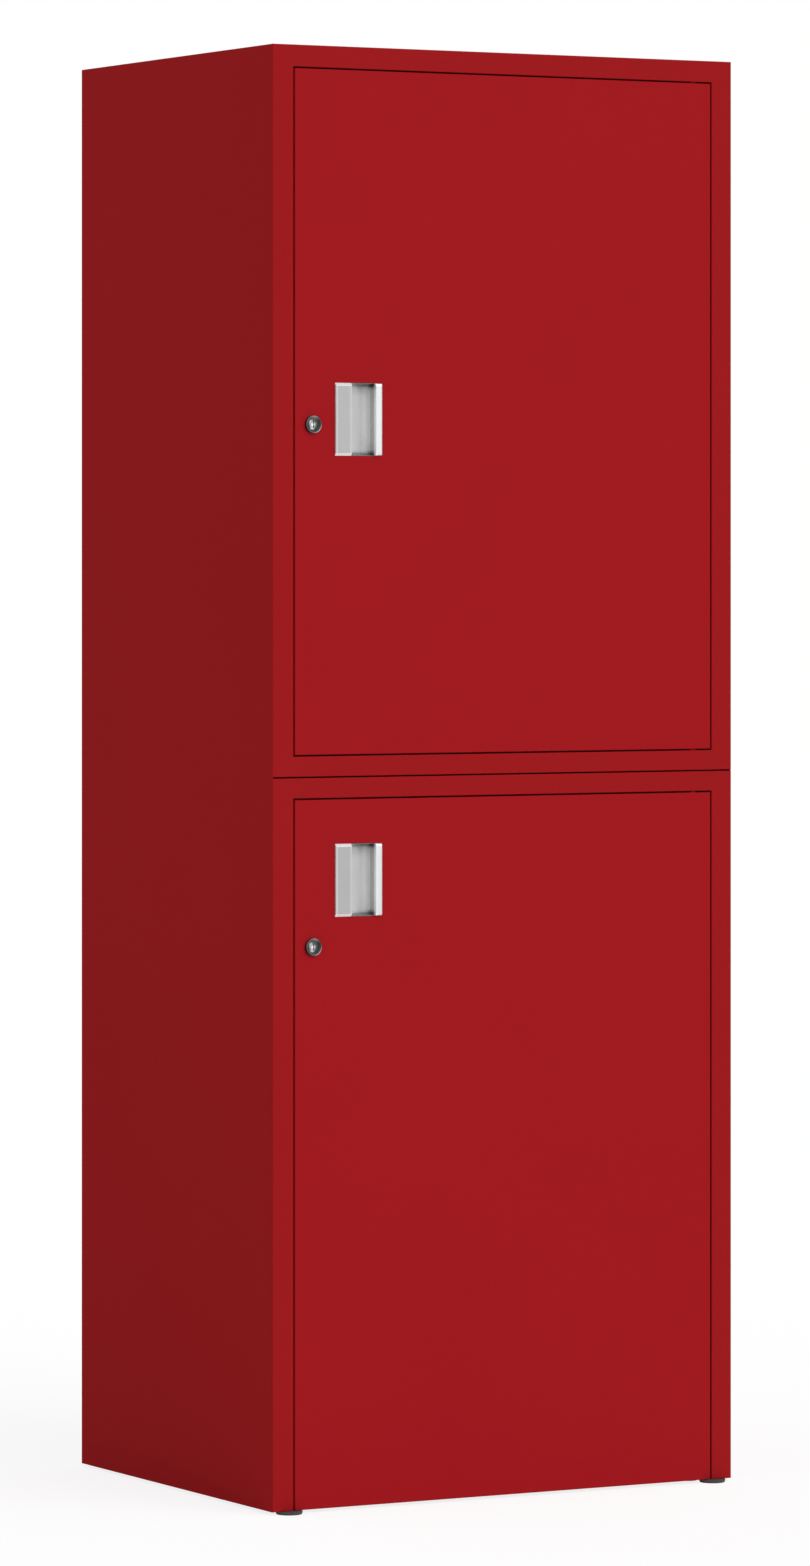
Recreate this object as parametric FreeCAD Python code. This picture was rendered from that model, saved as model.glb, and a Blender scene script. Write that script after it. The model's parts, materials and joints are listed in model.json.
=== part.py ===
"""Tall two-compartment tool chest side locker in welded steel sheet.

The frame of reference has +Z up, -Y towards the viewer who opens the doors, and its origin
on the floor under the middle of the locker. All sizes are in millimetres.
"""
import FreeCAD, Part
import math
import os

# ---------------------------------------------------------------------------------------
# Driving dimensions
# ---------------------------------------------------------------------------------------

# Carcass
body_width = 558.0
body_height = 1524.0
body_depth = 447.0
panel_gauge = 1.2
back_flange = 12.0

# Face frames round the two door openings
frame_gauge = 1.2
stile_width = 24.6
top_rail_height = 22.8
middle_rail_height = 21.1
frame_depth = 21.2
stop_lip = 10.0
seam_gap = 1.4
frame_bend_radius = 1.0

# Doors
door_gap = 1.6
door_thickness = 18.0
door_gauge = 1.2
door_bend_radius = 1.0
door_base_clearance = 0.3

# Door pivots
pivot_edge_inset = 20.0
pivot_face_inset = 7.0
pivot_swing_room = 22.0
pin_radius = 3.0
pin_reach = 8.0
pin_collar_radius = 5.0
pin_collar_clearance = 0.4
pin_running_clearance = 0.08
bush_wall = 1.6
bush_flange_width = 0.8
bush_flange_gauge = 1.2
bush_tip_cover = 1.0
hinge_plate_gauge = 3.0
hinge_plate_width = 26.0
hinge_plate_depth = 15.0
pivot_bracket_gauge = 1.5
pivot_bracket_width = 10.0
pivot_bracket_leg = 16.0

# Recessed pulls
pull_width = 55.0
pull_height = 76.0
pull_proud = 3.0
pull_lip_proud = 4.5
pull_lip_round = 3.0
pull_bevel = 2.4
pull_edge_round = 0.8
pull_flange_width = 18.5
pull_lip_width = 8.4
pull_cup_depth = 12.0
pull_cup_wall = 1.5
pull_ramp_run = 20.0
pull_cup_fillet = 1.5
pull_undercut = 2.0
pull_lip_root = 0.8
pull_cutout_clearance = 0.3
pull_door_inset = 74.7
upper_pull_drop = 389.0
lower_pull_drop = 107.8

# Screws that hold the pulls from inside the door
pull_boss_radius = 3.5
pull_boss_length = 1.0
pull_screw_radius = 1.7
pull_screw_grip = 2.0
pull_screw_head_radius = 5.0
pull_screw_head_height = 2.0
pull_screw_pitch = 50.0
pull_screw_inset = 10.0

# Cam locks
lock_door_inset = 21.0
upper_lock_drop = 394.8
lower_lock_drop = 176.6
lock_bezel_radius = 9.5
lock_bezel_proud = 3.0
lock_bezel_well = 2.0
lock_bezel_well_margin = 0.7
lock_bezel_round = 1.2
lock_barrel_radius = 8.0
lock_barrel_tail = 0.2
lock_hole_clearance = 0.1
lock_plug_radius = 6.0
lock_plug_clearance = 0.1
lock_plug_sink = 1.6
lock_keyway_width = 1.4
lock_keyway_height = 7.0
lock_keyway_depth = 5.0
lock_nut_flats = 22.0
lock_nut_height = 3.5
lock_access_radius = 13.0
cam_running_gap = 0.3
cam_gauge = 2.0
cam_length = 28.0
cam_radius = 6.5
cam_tenon = 7.0
cam_screw_radius = 2.0
cam_screw_length = 8.0
cam_screw_head_radius = 5.0
cam_screw_head_height = 2.5

# Magnetic catches and rubber buffers on the stop lips
catch_drop = 70.0
catch_height = 40.0
catch_nose_width = 14.0
catch_nose_depth = 15.7
catch_ear_gauge = 4.0
catch_magnet_width = 8.0
catch_magnet_height = 30.0
catch_magnet_depth = 6.0
catch_screw_radius = 1.5
catch_screw_pitch = 24.0
catch_screw_head_radius = 2.6
catch_screw_head_height = 1.4
door_stop_clearance = 0.3
buffer_radius = 4.0
buffer_catch_gap = 22.0
buffer_base_inset = 116.0

# Floor, middle deck and base plates
floor_height = 22.0
floor_setback = 33.0
deck_flange = 21.0
base_plate_gauge = 2.0
base_plate_depth = 60.0
rear_plate_width = 84.0
rear_plate_depth = 72.0

# Feet
foot_height = 3.2
foot_radius = 14.3
foot_tread_radius = 13.5
foot_side_inset = 21.5
foot_front_inset = 4.0
rear_foot_side_inset = 48.0
rear_foot_back_inset = 40.0
foot_recess_radius = 4.0
foot_recess_depth = 2.0
foot_screw_radius = 1.5
foot_screw_head_radius = 3.2
foot_screw_head_height = 1.5

# Shelving
shelf_gauge = 1.2
shelf_flange = 18.0
shelf_front_inset = 40.0
shelf_back_clearance = 3.0
shelf_side_clearance = 1.5
shelves_per_compartment = 2
strip_gauge = 1.2
strip_width = 20.0
strip_proud = 6.0
strip_end_gap = 30.0
front_strip_inset = 60.0
rear_strip_inset = 64.0
slot_pitch = 25.0
slot_height = 4.0
slot_width = 10.0
clip_gauge = 2.0
clip_width = 12.0
clip_ledge = 12.0
clip_leg = 12.0
clip_tongue_reach = 2.0
clip_tongue_clearance = 0.3

# ---------------------------------------------------------------------------------------
# Planes and positions worked out from the driving dimensions
# ---------------------------------------------------------------------------------------

front_overhang = max(foot_radius - foot_front_inset, pull_lip_proud)
front_y = (front_overhang - body_depth) / 2.0
back_y = front_y + body_depth

side_x = body_width / 2.0
inner_side_x = side_x - panel_gauge
opening_x = side_x - stile_width

base_z = foot_height
top_z = base_z + body_height
seam_z = base_z + body_height / 2.0
upper_frame_z = seam_z + seam_gap / 2.0
lower_frame_z = seam_z - seam_gap / 2.0
plate_top_z = base_z + base_plate_gauge
floor_z = base_z + floor_height
deck_z = upper_frame_z + middle_rail_height

door_x = opening_x - door_gap
pivot_x = door_x - pivot_edge_inset
bush_radius = pin_radius + pin_running_clearance + bush_wall
frame_lip_front = frame_depth - frame_gauge

upper_opening_z = (deck_z, top_z - top_rail_height)
lower_opening_z = (base_z, lower_frame_z - middle_rail_height)
upper_door_z = (upper_opening_z[0] + door_gap, upper_opening_z[1] - door_gap)
lower_door_z = (lower_opening_z[0] + door_base_clearance, lower_opening_z[1] - door_gap)

pull_left = -door_x + pull_door_inset - pull_width / 2.0
pull_right = pull_left + pull_width
mouth_left = pull_left + pull_flange_width
mouth_right = pull_right - pull_lip_width
cup_right = mouth_right + pull_undercut
lock_x = -door_x + lock_door_inset

upper_pull_z = top_z - upper_pull_drop
upper_lock_z = top_z - upper_lock_drop
lower_pull_z = seam_z - lower_pull_drop
lower_lock_z = seam_z - lower_lock_drop

upper_catch_z = upper_door_z[1] - catch_drop
lower_catch_z = lower_door_z[1] - catch_drop

cam_front = frame_depth + cam_running_gap
cam_rear = cam_front + cam_gauge
lock_barrel_end = frame_depth - lock_barrel_tail

strip_face_x = inner_side_x - strip_proud
front_strip_y = front_y + front_strip_inset
rear_strip_y = back_y - rear_strip_inset

DOWN = FreeCAD.Vector(0, 0, -1)
UP = FreeCAD.Vector(0, 0, 1)
REARWARD = FreeCAD.Vector(0, 1, 0)


# ---------------------------------------------------------------------------------------
# Building helpers
# ---------------------------------------------------------------------------------------

def depth(distance):
    """Return the y of a plane that lies so far behind the face frames."""
    return front_y + distance


def block(x_span, y_span, z_span):
    """Return a box between two x, two y and two z values, given in any order."""
    lows = [min(span) for span in (x_span, y_span, z_span)]
    sizes = [abs(span[1] - span[0]) for span in (x_span, y_span, z_span)]
    return Part.makeBox(*sizes, FreeCAD.Vector(*lows))


def rod(radius, start, direction, length):
    """Return a cylinder from a start point along a direction."""
    return Part.makeCylinder(radius, length, FreeCAD.Vector(*start), direction)


def hexagon(flats, centre, direction, length):
    """Return a hexagonal bar with one pair of flats facing along x."""
    corner = flats / math.sqrt(3.0)
    points = []
    for step in range(7):
        angle = math.radians(60.0 * step + 30.0)
        across = corner * math.cos(angle)
        along = corner * math.sin(angle)
        if direction == REARWARD:
            offset = FreeCAD.Vector(across, 0, along)
        else:
            offset = FreeCAD.Vector(across, along, 0)
        points.append(FreeCAD.Vector(*centre) + offset)
    face = Part.Face(Part.makePolygon(points))
    return face.extrude(direction * length)


def merge(shapes):
    """Fuse overlapping or touching solids into one clean solid."""
    return shapes[0].multiFuse(shapes[1:]).removeSplitter()


def mirrored(shape):
    """Return the left-right mirror image of a shape."""
    return shape.mirror(FreeCAD.Vector(0, 0, 0), FreeCAD.Vector(1, 0, 0))


def rounded(shape, radius, chosen):
    """Round the straight edges that a test on their midpoint and direction picks."""
    edges = []
    for edge in shape.Edges:
        run = edge.tangentAt(edge.FirstParameter)
        if edge.Length > 2.0 * radius and chosen(edge.CenterOfMass, run):
            edges.append(edge)
    return shape.makeFillet(radius, edges)


def save(name, shape):
    """Write one node's STEP file."""
    shape.exportStep(os.path.join("parts", name + ".step"))


# ---------------------------------------------------------------------------------------
# Carcass panels
# ---------------------------------------------------------------------------------------

def side_panel():
    """Full-height flat side sheet, left hand, behind the front frames and under the top."""
    return block((-side_x, -inner_side_x), (depth(frame_gauge), back_y), (base_z, top_z - panel_gauge))


def back_panel():
    """Flat back sheet with narrow flanges turned forwards along both side panels."""
    z_span = (base_z, top_z - panel_gauge)
    sheet = block((-inner_side_x, inner_side_x), (back_y - panel_gauge, back_y), z_span)
    flange_y = (back_y - back_flange, back_y)
    left = block((-inner_side_x, -inner_side_x + panel_gauge), flange_y, z_span)
    return merge([sheet, left, mirrored(left)])


def top_panel():
    """Flat top sheet that covers the edges of the side and back panels."""
    sheet = block((-side_x, side_x), (depth(frame_gauge), back_y), (top_z - panel_gauge, top_z))
    front = depth(frame_gauge)
    return rounded(
        sheet, frame_bend_radius,
        lambda centre, _: abs(centre.z - top_z) < 1e-6 and centre.y > front + 1e-6,
    )


def flanged_tray(x_half, y_span, z_level, z_flange, gauge):
    """Horizontal sheet with its front and rear edges turned down."""
    sheet = block((-x_half, x_half), y_span, (z_level - gauge, z_level))
    front = block((-x_half, x_half), (y_span[0], y_span[0] + gauge), (z_flange, z_level))
    rear = block((-x_half, x_half), (y_span[1] - gauge, y_span[1]), (z_flange, z_level))
    return merge([sheet, front, rear])


def middle_deck():
    """Deck between the compartments, level with the top of the lower rail of the upper frame."""
    y_span = (depth(frame_depth), back_y - panel_gauge)
    tray = flanged_tray(inner_side_x, y_span, deck_z, deck_z - deck_flange, panel_gauge)
    return tray.cut(back_panel())


def floor_panel():
    """Floor tray of the lower compartment, notched over the base plates."""
    y_span = (depth(floor_setback), back_y - panel_gauge)
    tray = flanged_tray(inner_side_x, y_span, floor_z, base_z, panel_gauge)
    left = block((-inner_side_x, -inner_side_x + panel_gauge), y_span, (base_z, floor_z))
    waste = [back_panel()]
    for front in (True, False):
        plate = plate_blank(front)
        waste += [plate, mirrored(plate)]
    return merge([tray, left, mirrored(left)]).cut(Part.makeCompound(waste))


# ---------------------------------------------------------------------------------------
# Face frames
# ---------------------------------------------------------------------------------------

def stile(z_span, leg_z, opening_z):
    """Left-hand channel stile; its legs can end short of its web.

    Its outer and end edges are bent round, and so is the edge along the door opening.
    """
    leg_y = (depth(0.0), depth(frame_depth))
    web = block((-side_x, -opening_x), (depth(0.0), depth(frame_gauge)), z_span)
    face = depth(0.0)
    web = rounded(
        web, frame_bend_radius,
        lambda centre, _: abs(centre.y - face) < 1e-6 and centre.x < -opening_x - 1e-6,
    )
    jamb = block((-opening_x - frame_gauge, -opening_x), (depth(frame_gauge), leg_y[1]), leg_z)
    welt = block((-inner_side_x, -inner_side_x + frame_gauge), (depth(frame_gauge), leg_y[1]), leg_z)
    return merge([web, jamb, welt]).cut(edge_waste(opening_z))


def edge_waste(z_span):
    """Waste outside the bend along the left side of a door opening."""
    radius = frame_bend_radius
    corner = block((-opening_x - radius, -opening_x), (depth(0.0), depth(radius)), z_span)
    bend = rod(radius, (-opening_x - radius, depth(radius), z_span[0]), UP, z_span[1] - z_span[0])
    return corner.cut(bend)


def latch_stile(z_span, leg_z, opening_z, lip_z, catch_z):
    """Left-hand stile with the stop lip that the door and the lock cam work against."""
    lip_x = (-opening_x - frame_gauge, -opening_x + stop_lip)
    lip = block(lip_x, (depth(frame_lip_front), depth(frame_depth)), lip_z)
    shape = merge([stile(z_span, leg_z, opening_z), lip])
    return shape.cut(Part.makeCompound(catch_screw_shanks(catch_z)))


def rail(z_outer, z_inner, cover):
    """Channel rail between the stiles, with a stop lip that ends short of the hinge side."""
    way = 1.0 if z_inner > z_outer else -1.0
    x_span = (-opening_x, opening_x)
    leg_y = (depth(frame_gauge), depth(frame_depth))
    lip_y = (depth(frame_lip_front), depth(frame_depth))
    face = depth(0.0)
    web = block(x_span, (face, depth(frame_gauge)), (z_outer, z_inner))
    web = rounded(
        web, frame_bend_radius,
        lambda centre, run: abs(centre.y - face) < 1e-6 and abs(run.x) > 0.9,
    )
    outer_start = z_outer + way * cover
    outer = block(x_span, leg_y, (outer_start, outer_start + way * frame_gauge))
    inner = block(x_span, leg_y, (z_inner - way * frame_gauge, z_inner))
    lip_x = (-opening_x, pivot_x - pivot_swing_room)
    lip = block(lip_x, lip_y, (z_inner - way * frame_gauge, z_inner + way * stop_lip))
    return merge([web, outer, inner, lip])


def drilled_for_pin(shape):
    """Bore a frame member or plate for the pivot pins on the door's axis."""
    return shape.cut(rod(pin_radius, (pivot_x, depth(pivot_face_inset), 0.0), UP, top_z))


# ---------------------------------------------------------------------------------------
# Hinge plates, pivot pins and bushes
# ---------------------------------------------------------------------------------------

def hinge_plate(z_inner, way):
    """Bored stiffening plate inside a rail, on the leg next to the door."""
    x_span = (pivot_x - hinge_plate_width / 2.0, pivot_x + hinge_plate_width / 2.0)
    y_span = (depth(frame_gauge), depth(frame_gauge + hinge_plate_depth))
    z_start = z_inner - way * frame_gauge
    plate = block(x_span, y_span, (z_start, z_start - way * hinge_plate_gauge))
    return drilled_for_pin(plate)


def pivot_bracket():
    """Bracket from the floor panel's front flange to the pin below the lower door."""
    x_span = (pivot_x - pivot_bracket_width / 2.0, pivot_x + pivot_bracket_width / 2.0)
    flange_back = floor_setback + panel_gauge
    leg_back = flange_back + pivot_bracket_gauge
    z_low = base_z - pivot_bracket_gauge
    nose_start = (pivot_x, depth(pivot_face_inset), z_low)
    nose = rod(pivot_bracket_width / 2.0, nose_start, UP, pivot_bracket_gauge)
    tongue = block(x_span, (depth(pivot_face_inset), depth(leg_back)), (z_low, base_z))
    leg = block(x_span, (depth(flange_back), depth(leg_back)), (z_low, base_z + pivot_bracket_leg))
    return drilled_for_pin(merge([nose, tongue, leg]))


def pivot_pin(z_seat, way, seat_thickness, gap, collared):
    """Pin from the far side of its seat, across the door gap and into the door's bush."""
    direction = UP if way > 0 else DOWN
    x, y = pivot_x, depth(pivot_face_inset)
    start = (x, y, z_seat - way * seat_thickness)
    pin = rod(pin_radius, start, direction, seat_thickness + gap + pin_reach)
    if not collared:
        return pin
    collar = rod(pin_collar_radius, (x, y, z_seat), direction, gap - pin_collar_clearance)
    return merge([pin, collar])


def pivot_bush(z_edge, way):
    """Flanged bush pressed into the door's turned edge, flange inside the door."""
    direction = UP if way > 0 else DOWN
    x, y = pivot_x, depth(pivot_face_inset)
    sleeve_length = pin_reach + bush_tip_cover
    sleeve = rod(bush_radius, (x, y, z_edge), direction, sleeve_length)
    flange_start = (x, y, z_edge + way * door_gauge)
    flange = rod(bush_radius + bush_flange_width, flange_start, direction, bush_flange_gauge)
    bore = rod(pin_radius + pin_running_clearance, (x, y, z_edge), direction, sleeve_length)
    return merge([sleeve, flange]).cut(bore)


# ---------------------------------------------------------------------------------------
# Doors
# ---------------------------------------------------------------------------------------

def pull_cutter(z_centre):
    """Cut-outs in the door skin for a pull's cup and its two screw bosses."""
    room = pull_cutout_clearance
    half_height = pull_height / 2.0 + room
    x_span = (mouth_left - pull_cup_wall - room, cup_right + pull_cup_wall + room)
    z_span = (z_centre - half_height, z_centre + half_height)
    cup = block(x_span, (depth(0.0), depth(door_gauge)), z_span)
    bosses = [
        rod(pull_boss_radius, point, REARWARD, door_gauge)
        for point in pull_screw_points(z_centre)
    ]
    return Part.makeCompound([cup] + bosses)


def door_skin(z_span, pull_z, lock_z):
    """Outer door pan: flat front with all four edges turned back."""
    outer = block((-door_x, door_x), (depth(0.0), depth(door_thickness)), z_span)
    front_edge_y = depth(0.0)
    outer = rounded(outer, door_bend_radius, lambda centre, _: abs(centre.y - front_edge_y) < 1e-6)
    hollow_x = (-door_x + door_gauge, door_x - door_gauge)
    hollow_z = (z_span[0] + door_gauge, z_span[1] - door_gauge)
    hollow = block(hollow_x, (depth(door_gauge), depth(door_thickness)), hollow_z)
    pan = outer.cut(hollow)
    hole_radius = lock_barrel_radius + lock_hole_clearance
    lock_hole = rod(hole_radius, (lock_x, depth(0.0), lock_z), REARWARD, door_gauge)
    bush_start = (pivot_x, depth(pivot_face_inset), z_span[0])
    bush_hole = rod(bush_radius, bush_start, UP, z_span[1] - z_span[0])
    return pan.cut(Part.makeCompound([lock_hole, bush_hole])).cut(pull_cutter(pull_z))


def door_liner(z_span, lock_z):
    """Flat inner sheet that closes the back of the door, with a hole round the lock."""
    x_span = (-door_x + door_gauge, door_x - door_gauge)
    y_span = (depth(door_thickness - door_gauge), depth(door_thickness))
    sheet = block(x_span, y_span, (z_span[0] + door_gauge, z_span[1] - door_gauge))
    access = rod(lock_access_radius, (lock_x, depth(0.0), lock_z), REARWARD, door_thickness)
    return sheet.cut(access)


def profile_bar(outline, z_span):
    """Return an upright bar over an outline of x and depth pairs."""
    points = [FreeCAD.Vector(x, depth(distance), z_span[0]) for x, distance in outline]
    face = Part.Face(Part.makePolygon(points + points[:1]))
    return face.extrude(UP * (z_span[1] - z_span[0]))


def cup_hollow(z_span):
    """Hollow of the pull's cup.

    Its floor falls in a straight ramp from the plate's edge to the full depth and runs on
    level under the lip. The ramp and the floor meet the walls in a fillet.
    """
    ramp_slope = pull_ramp_run / (pull_cup_depth + pull_proud)
    ramp_top = mouth_left - ramp_slope * (pull_lip_proud - pull_proud)
    outline = [
        (ramp_top, -pull_lip_proud), (mouth_left + pull_ramp_run, pull_cup_depth),
        (cup_right, pull_cup_depth), (cup_right, pull_lip_root), (mouth_right, pull_lip_root),
        (mouth_right, -pull_lip_proud),
    ]
    wall_depth = depth(pull_lip_root + pull_cup_fillet)
    return rounded(
        profile_bar(outline, z_span), pull_cup_fillet,
        lambda centre, run: centre.y > wall_depth and (centre.x > mouth_right or abs(run.z) < 0.1),
    )


def cup_shell(z_span):
    """Cast shell of the pull's cup: the hollow's outline moved out by the wall."""
    drop = pull_cup_depth + pull_proud
    slant = math.hypot(pull_ramp_run, drop)
    back_x = mouth_left - pull_cup_wall * drop / slant
    back_depth = pull_cup_wall * pull_ramp_run / slant - pull_proud
    shell_depth = pull_cup_depth + pull_cup_wall
    shell_right = cup_right + pull_cup_wall
    foot_x = back_x + pull_ramp_run * (shell_depth - back_depth) / drop
    rim_x = mouth_left + pull_ramp_run * pull_proud / drop
    outline = [
        (mouth_left, -pull_proud), (rim_x, 0.0), (shell_right, 0.0),
        (shell_right, shell_depth), (foot_x, shell_depth), (back_x, back_depth),
    ]
    return profile_bar(outline, z_span)


def pull_plate(z_span):
    """Flat plate on the left of a pull, bevelled at its ends."""
    front = depth(-pull_proud)
    plate = block((pull_left, mouth_left), (front, depth(0.0)), z_span)
    ends = []
    for edge in plate.Edges:
        run = edge.tangentAt(edge.FirstParameter)
        if abs(edge.CenterOfMass.y - front) < 1e-6 and abs(run.x) > 0.9:
            ends.append(edge)
    return rounded(
        plate.makeChamfer(pull_bevel, ends), pull_edge_round,
        lambda centre, _: abs(centre.y - front) < 1e-6 and abs(centre.x - pull_left) < 1e-6,
    )


def pull_lip(z_span):
    """Raised lip on the right of a pull, rounded all round its front."""
    front = depth(-pull_lip_proud)
    lip = block((mouth_right, pull_right), (front, depth(0.0)), z_span)
    return rounded(lip, pull_lip_round, lambda centre, _: abs(centre.y - front) < 1e-6)


def door_pull(z_centre):
    """Cast recessed pull: flat plate, ramped cup and raised lip in one piece."""
    half_height = pull_height / 2.0
    z_span = (z_centre - half_height, z_centre + half_height)
    hollow_z = (z_span[0] + pull_cup_wall, z_span[1] - pull_cup_wall)
    parts = [pull_plate(z_span), pull_lip(z_span), cup_shell(z_span)] + pull_bosses(z_centre)
    shape = merge(parts).cut(cup_hollow(hollow_z))
    return shape.cut(Part.makeCompound(pull_screw_shanks(z_centre)))


def pull_screw_points(z_centre):
    """Centres of a pull's two screws on the door's front face."""
    x = pull_left + pull_screw_inset
    return [(x, depth(0.0), z_centre + side * pull_screw_pitch / 2.0) for side in (-1.0, 1.0)]


def pull_bosses(z_centre):
    """Bosses that locate the pull's plate in the door skin."""
    return [
        rod(pull_boss_radius, point, REARWARD, pull_boss_length)
        for point in pull_screw_points(z_centre)
    ]


def pull_screw_shanks(z_centre):
    """Shanks of a pull's screws, from the skin's inner face into the plate."""
    length = pull_screw_grip + door_gauge
    return [
        rod(pull_screw_radius, (x, y - pull_screw_grip, z), REARWARD, length)
        for x, y, z in pull_screw_points(z_centre)
    ]


def pull_screws(z_centre):
    """Two screws with wide heads against the inside of the door skin."""
    screws = []
    for shank, (x, y, z) in zip(pull_screw_shanks(z_centre), pull_screw_points(z_centre)):
        head = rod(pull_screw_head_radius, (x, y + door_gauge, z), REARWARD, pull_screw_head_height)
        screws.append(merge([shank, head]))
    return Part.makeCompound(screws)


# ---------------------------------------------------------------------------------------
# Cam locks
# ---------------------------------------------------------------------------------------

def lock_body(z):
    """Lock housing: rounded ring round a shallow well on the door face, and a barrel behind."""
    front = depth(-lock_bezel_proud)
    face = (lock_x, front, z)
    disc = rod(lock_bezel_radius, face, REARWARD, lock_bezel_proud)
    bezel = rounded(disc, lock_bezel_round, lambda centre, _: abs(centre.y - front) < 1e-6)
    barrel = rod(lock_barrel_radius, (lock_x, depth(0.0), z), REARWARD, lock_barrel_end)
    bore_radius = lock_plug_radius + lock_plug_clearance
    well = rod(bore_radius + lock_bezel_well_margin, face, REARWARD, lock_bezel_well)
    bore = rod(bore_radius, face, REARWARD, lock_bezel_proud + lock_barrel_end)
    return merge([bezel, barrel]).cut(well).cut(bore)


def lock_nut(z):
    """Hexagon nut that clamps the lock housing to the door skin."""
    nut = hexagon(lock_nut_flats, (lock_x, depth(door_gauge), z), REARWARD, lock_nut_height)
    return nut.cut(rod(lock_barrel_radius, (lock_x, depth(0.0), z), REARWARD, door_thickness))


def cam_screw_shank(z):
    """Threaded part of the screw in the tail of the plug."""
    start = (lock_x, depth(cam_rear - cam_screw_length), z)
    return rod(cam_screw_radius, start, REARWARD, cam_screw_length)


def tenon_square(z, start_depth):
    """Square bar on the lock's axis that ends at the back of the cam."""
    half = cam_tenon / 2.0
    y_span = (depth(start_depth), depth(cam_rear))
    return block((lock_x - half, lock_x + half), y_span, (z - half, z + half))


def lock_plug(z):
    """Turning plug with a keyway in its face and a square tenon for the cam."""
    face_depth = lock_plug_sink - lock_bezel_proud
    plug = rod(lock_plug_radius, (lock_x, depth(face_depth), z), REARWARD, cam_front - face_depth)
    tenon = tenon_square(z, cam_front - cam_gauge)
    half_key = lock_keyway_width / 2.0
    keyway = block(
        (lock_x - half_key, lock_x + half_key),
        (depth(face_depth), depth(face_depth + lock_keyway_depth)),
        (z - lock_keyway_height / 2.0, z + lock_keyway_height / 2.0),
    )
    return merge([plug, tenon]).cut(keyway).cut(cam_screw_shank(z))


def lock_cam(z):
    """Round-ended cam that hangs down when the door is unlocked."""
    hub = rod(cam_radius, (lock_x, depth(cam_front), z), REARWARD, cam_gauge)
    tip = rod(cam_radius, (lock_x, depth(cam_front), z - cam_length), REARWARD, cam_gauge)
    arm_x = (lock_x - cam_radius, lock_x + cam_radius)
    arm = block(arm_x, (depth(cam_front), depth(cam_rear)), (z - cam_length, z))
    return merge([hub, tip, arm]).cut(tenon_square(z, cam_front))


def cam_screw(z):
    """Screw that keeps the cam on the plug."""
    head = rod(cam_screw_head_radius, (lock_x, depth(cam_rear), z), REARWARD, cam_screw_head_height)
    return merge([cam_screw_shank(z), head])


# ---------------------------------------------------------------------------------------
# Magnetic catches and buffers
# ---------------------------------------------------------------------------------------

def catch_screw_points(z):
    """Centres of one catch's two screws on the front of the stop lip."""
    x = -opening_x + stop_lip / 2.0
    return [(x, depth(frame_lip_front), z + side * catch_screw_pitch / 2.0) for side in (-1.0, 1.0)]


def catch_screw_shanks(z):
    """Shanks of one catch's screws through the lip and the catch's ear."""
    length = frame_gauge + catch_ear_gauge
    return [rod(catch_screw_radius, point, REARWARD, length) for point in catch_screw_points(z)]


def catch_screws(z):
    """Two screws with their heads on the front of the stop lip."""
    screws = []
    for shank, (x, y, z_screw) in zip(catch_screw_shanks(z), catch_screw_points(z)):
        start = (x, y - catch_screw_head_height, z_screw)
        head = rod(catch_screw_head_radius, start, REARWARD, catch_screw_head_height)
        screws.append(merge([shank, head]))
    return screws


def catch_magnet(z):
    """Bar magnet flush with the front of the catch."""
    middle = -opening_x + stop_lip + catch_nose_width / 2.0
    x_span = (middle - catch_magnet_width / 2.0, middle + catch_magnet_width / 2.0)
    front = door_thickness + door_stop_clearance
    half = catch_magnet_height / 2.0
    return block(x_span, (depth(front), depth(front + catch_magnet_depth)), (z - half, z + half))


def magnetic_catch(z):
    """Moulded catch with an ear behind the stop lip and a nose that meets the door."""
    nose_left = -opening_x + stop_lip
    front = door_thickness + door_stop_clearance
    z_span = (z - catch_height / 2.0, z + catch_height / 2.0)
    nose_x = (nose_left, nose_left + catch_nose_width)
    nose = block(nose_x, (depth(front), depth(front + catch_nose_depth)), z_span)
    ear_y = (depth(frame_depth), depth(frame_depth + catch_ear_gauge))
    ear = block((-opening_x, nose_left), ear_y, z_span)
    return merge([nose, ear]).cut(Part.makeCompound([catch_magnet(z)] + catch_screw_shanks(z)))


def door_buffers(z_bottom, z_catch):
    """Rubber discs on the stop lip that a door closes against, below its catch and low down."""
    front = door_thickness + door_stop_clearance
    height = frame_lip_front - front
    x = -opening_x + stop_lip / 2.0
    below_catch = z_catch - catch_height / 2.0 - buffer_catch_gap - buffer_radius
    levels = [z_bottom + buffer_base_inset, below_catch]
    return [rod(buffer_radius, (x, depth(front), z), REARWARD, height) for z in levels]


# ---------------------------------------------------------------------------------------
# Base plates and feet
# ---------------------------------------------------------------------------------------

def foot_point(front, z):
    """Point at a height on the axis of the left foot at the front or the rear."""
    if front:
        return (-side_x + foot_side_inset, depth(foot_front_inset), z)
    return (-side_x + rear_foot_side_inset, back_y - rear_foot_back_inset, z)


def foot_screw_bore(front):
    """Space of a foot screw's shank, from the floor up to the top of the base plate."""
    return rod(foot_screw_radius, foot_point(front, 0.0), UP, plate_top_z)


def plate_blank(front):
    """Left corner plate before it is drilled; the front one closes the foot of the stile."""
    if front:
        x_span = (-inner_side_x, -opening_x)
        y_span = (depth(frame_gauge), depth(base_plate_depth))
    else:
        x_span = (-inner_side_x, -inner_side_x + rear_plate_width)
        y_span = (back_y - rear_plate_depth, back_y - panel_gauge)
    return block(x_span, y_span, (base_z, plate_top_z))


def base_plate(front):
    """Left corner plate that carries a foot, clear of the back panel's flange."""
    return plate_blank(front).cut(back_panel()).cut(foot_screw_bore(front))


def foot_pad(front):
    """Low round foot with a recess for its screw head."""
    origin = FreeCAD.Vector(*foot_point(front, 0.0))
    pad = Part.makeCone(foot_tread_radius, foot_radius, foot_height, origin, UP)
    recess = rod(foot_recess_radius, foot_point(front, 0.0), UP, foot_recess_depth)
    return pad.cut(recess).cut(foot_screw_bore(front))


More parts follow.
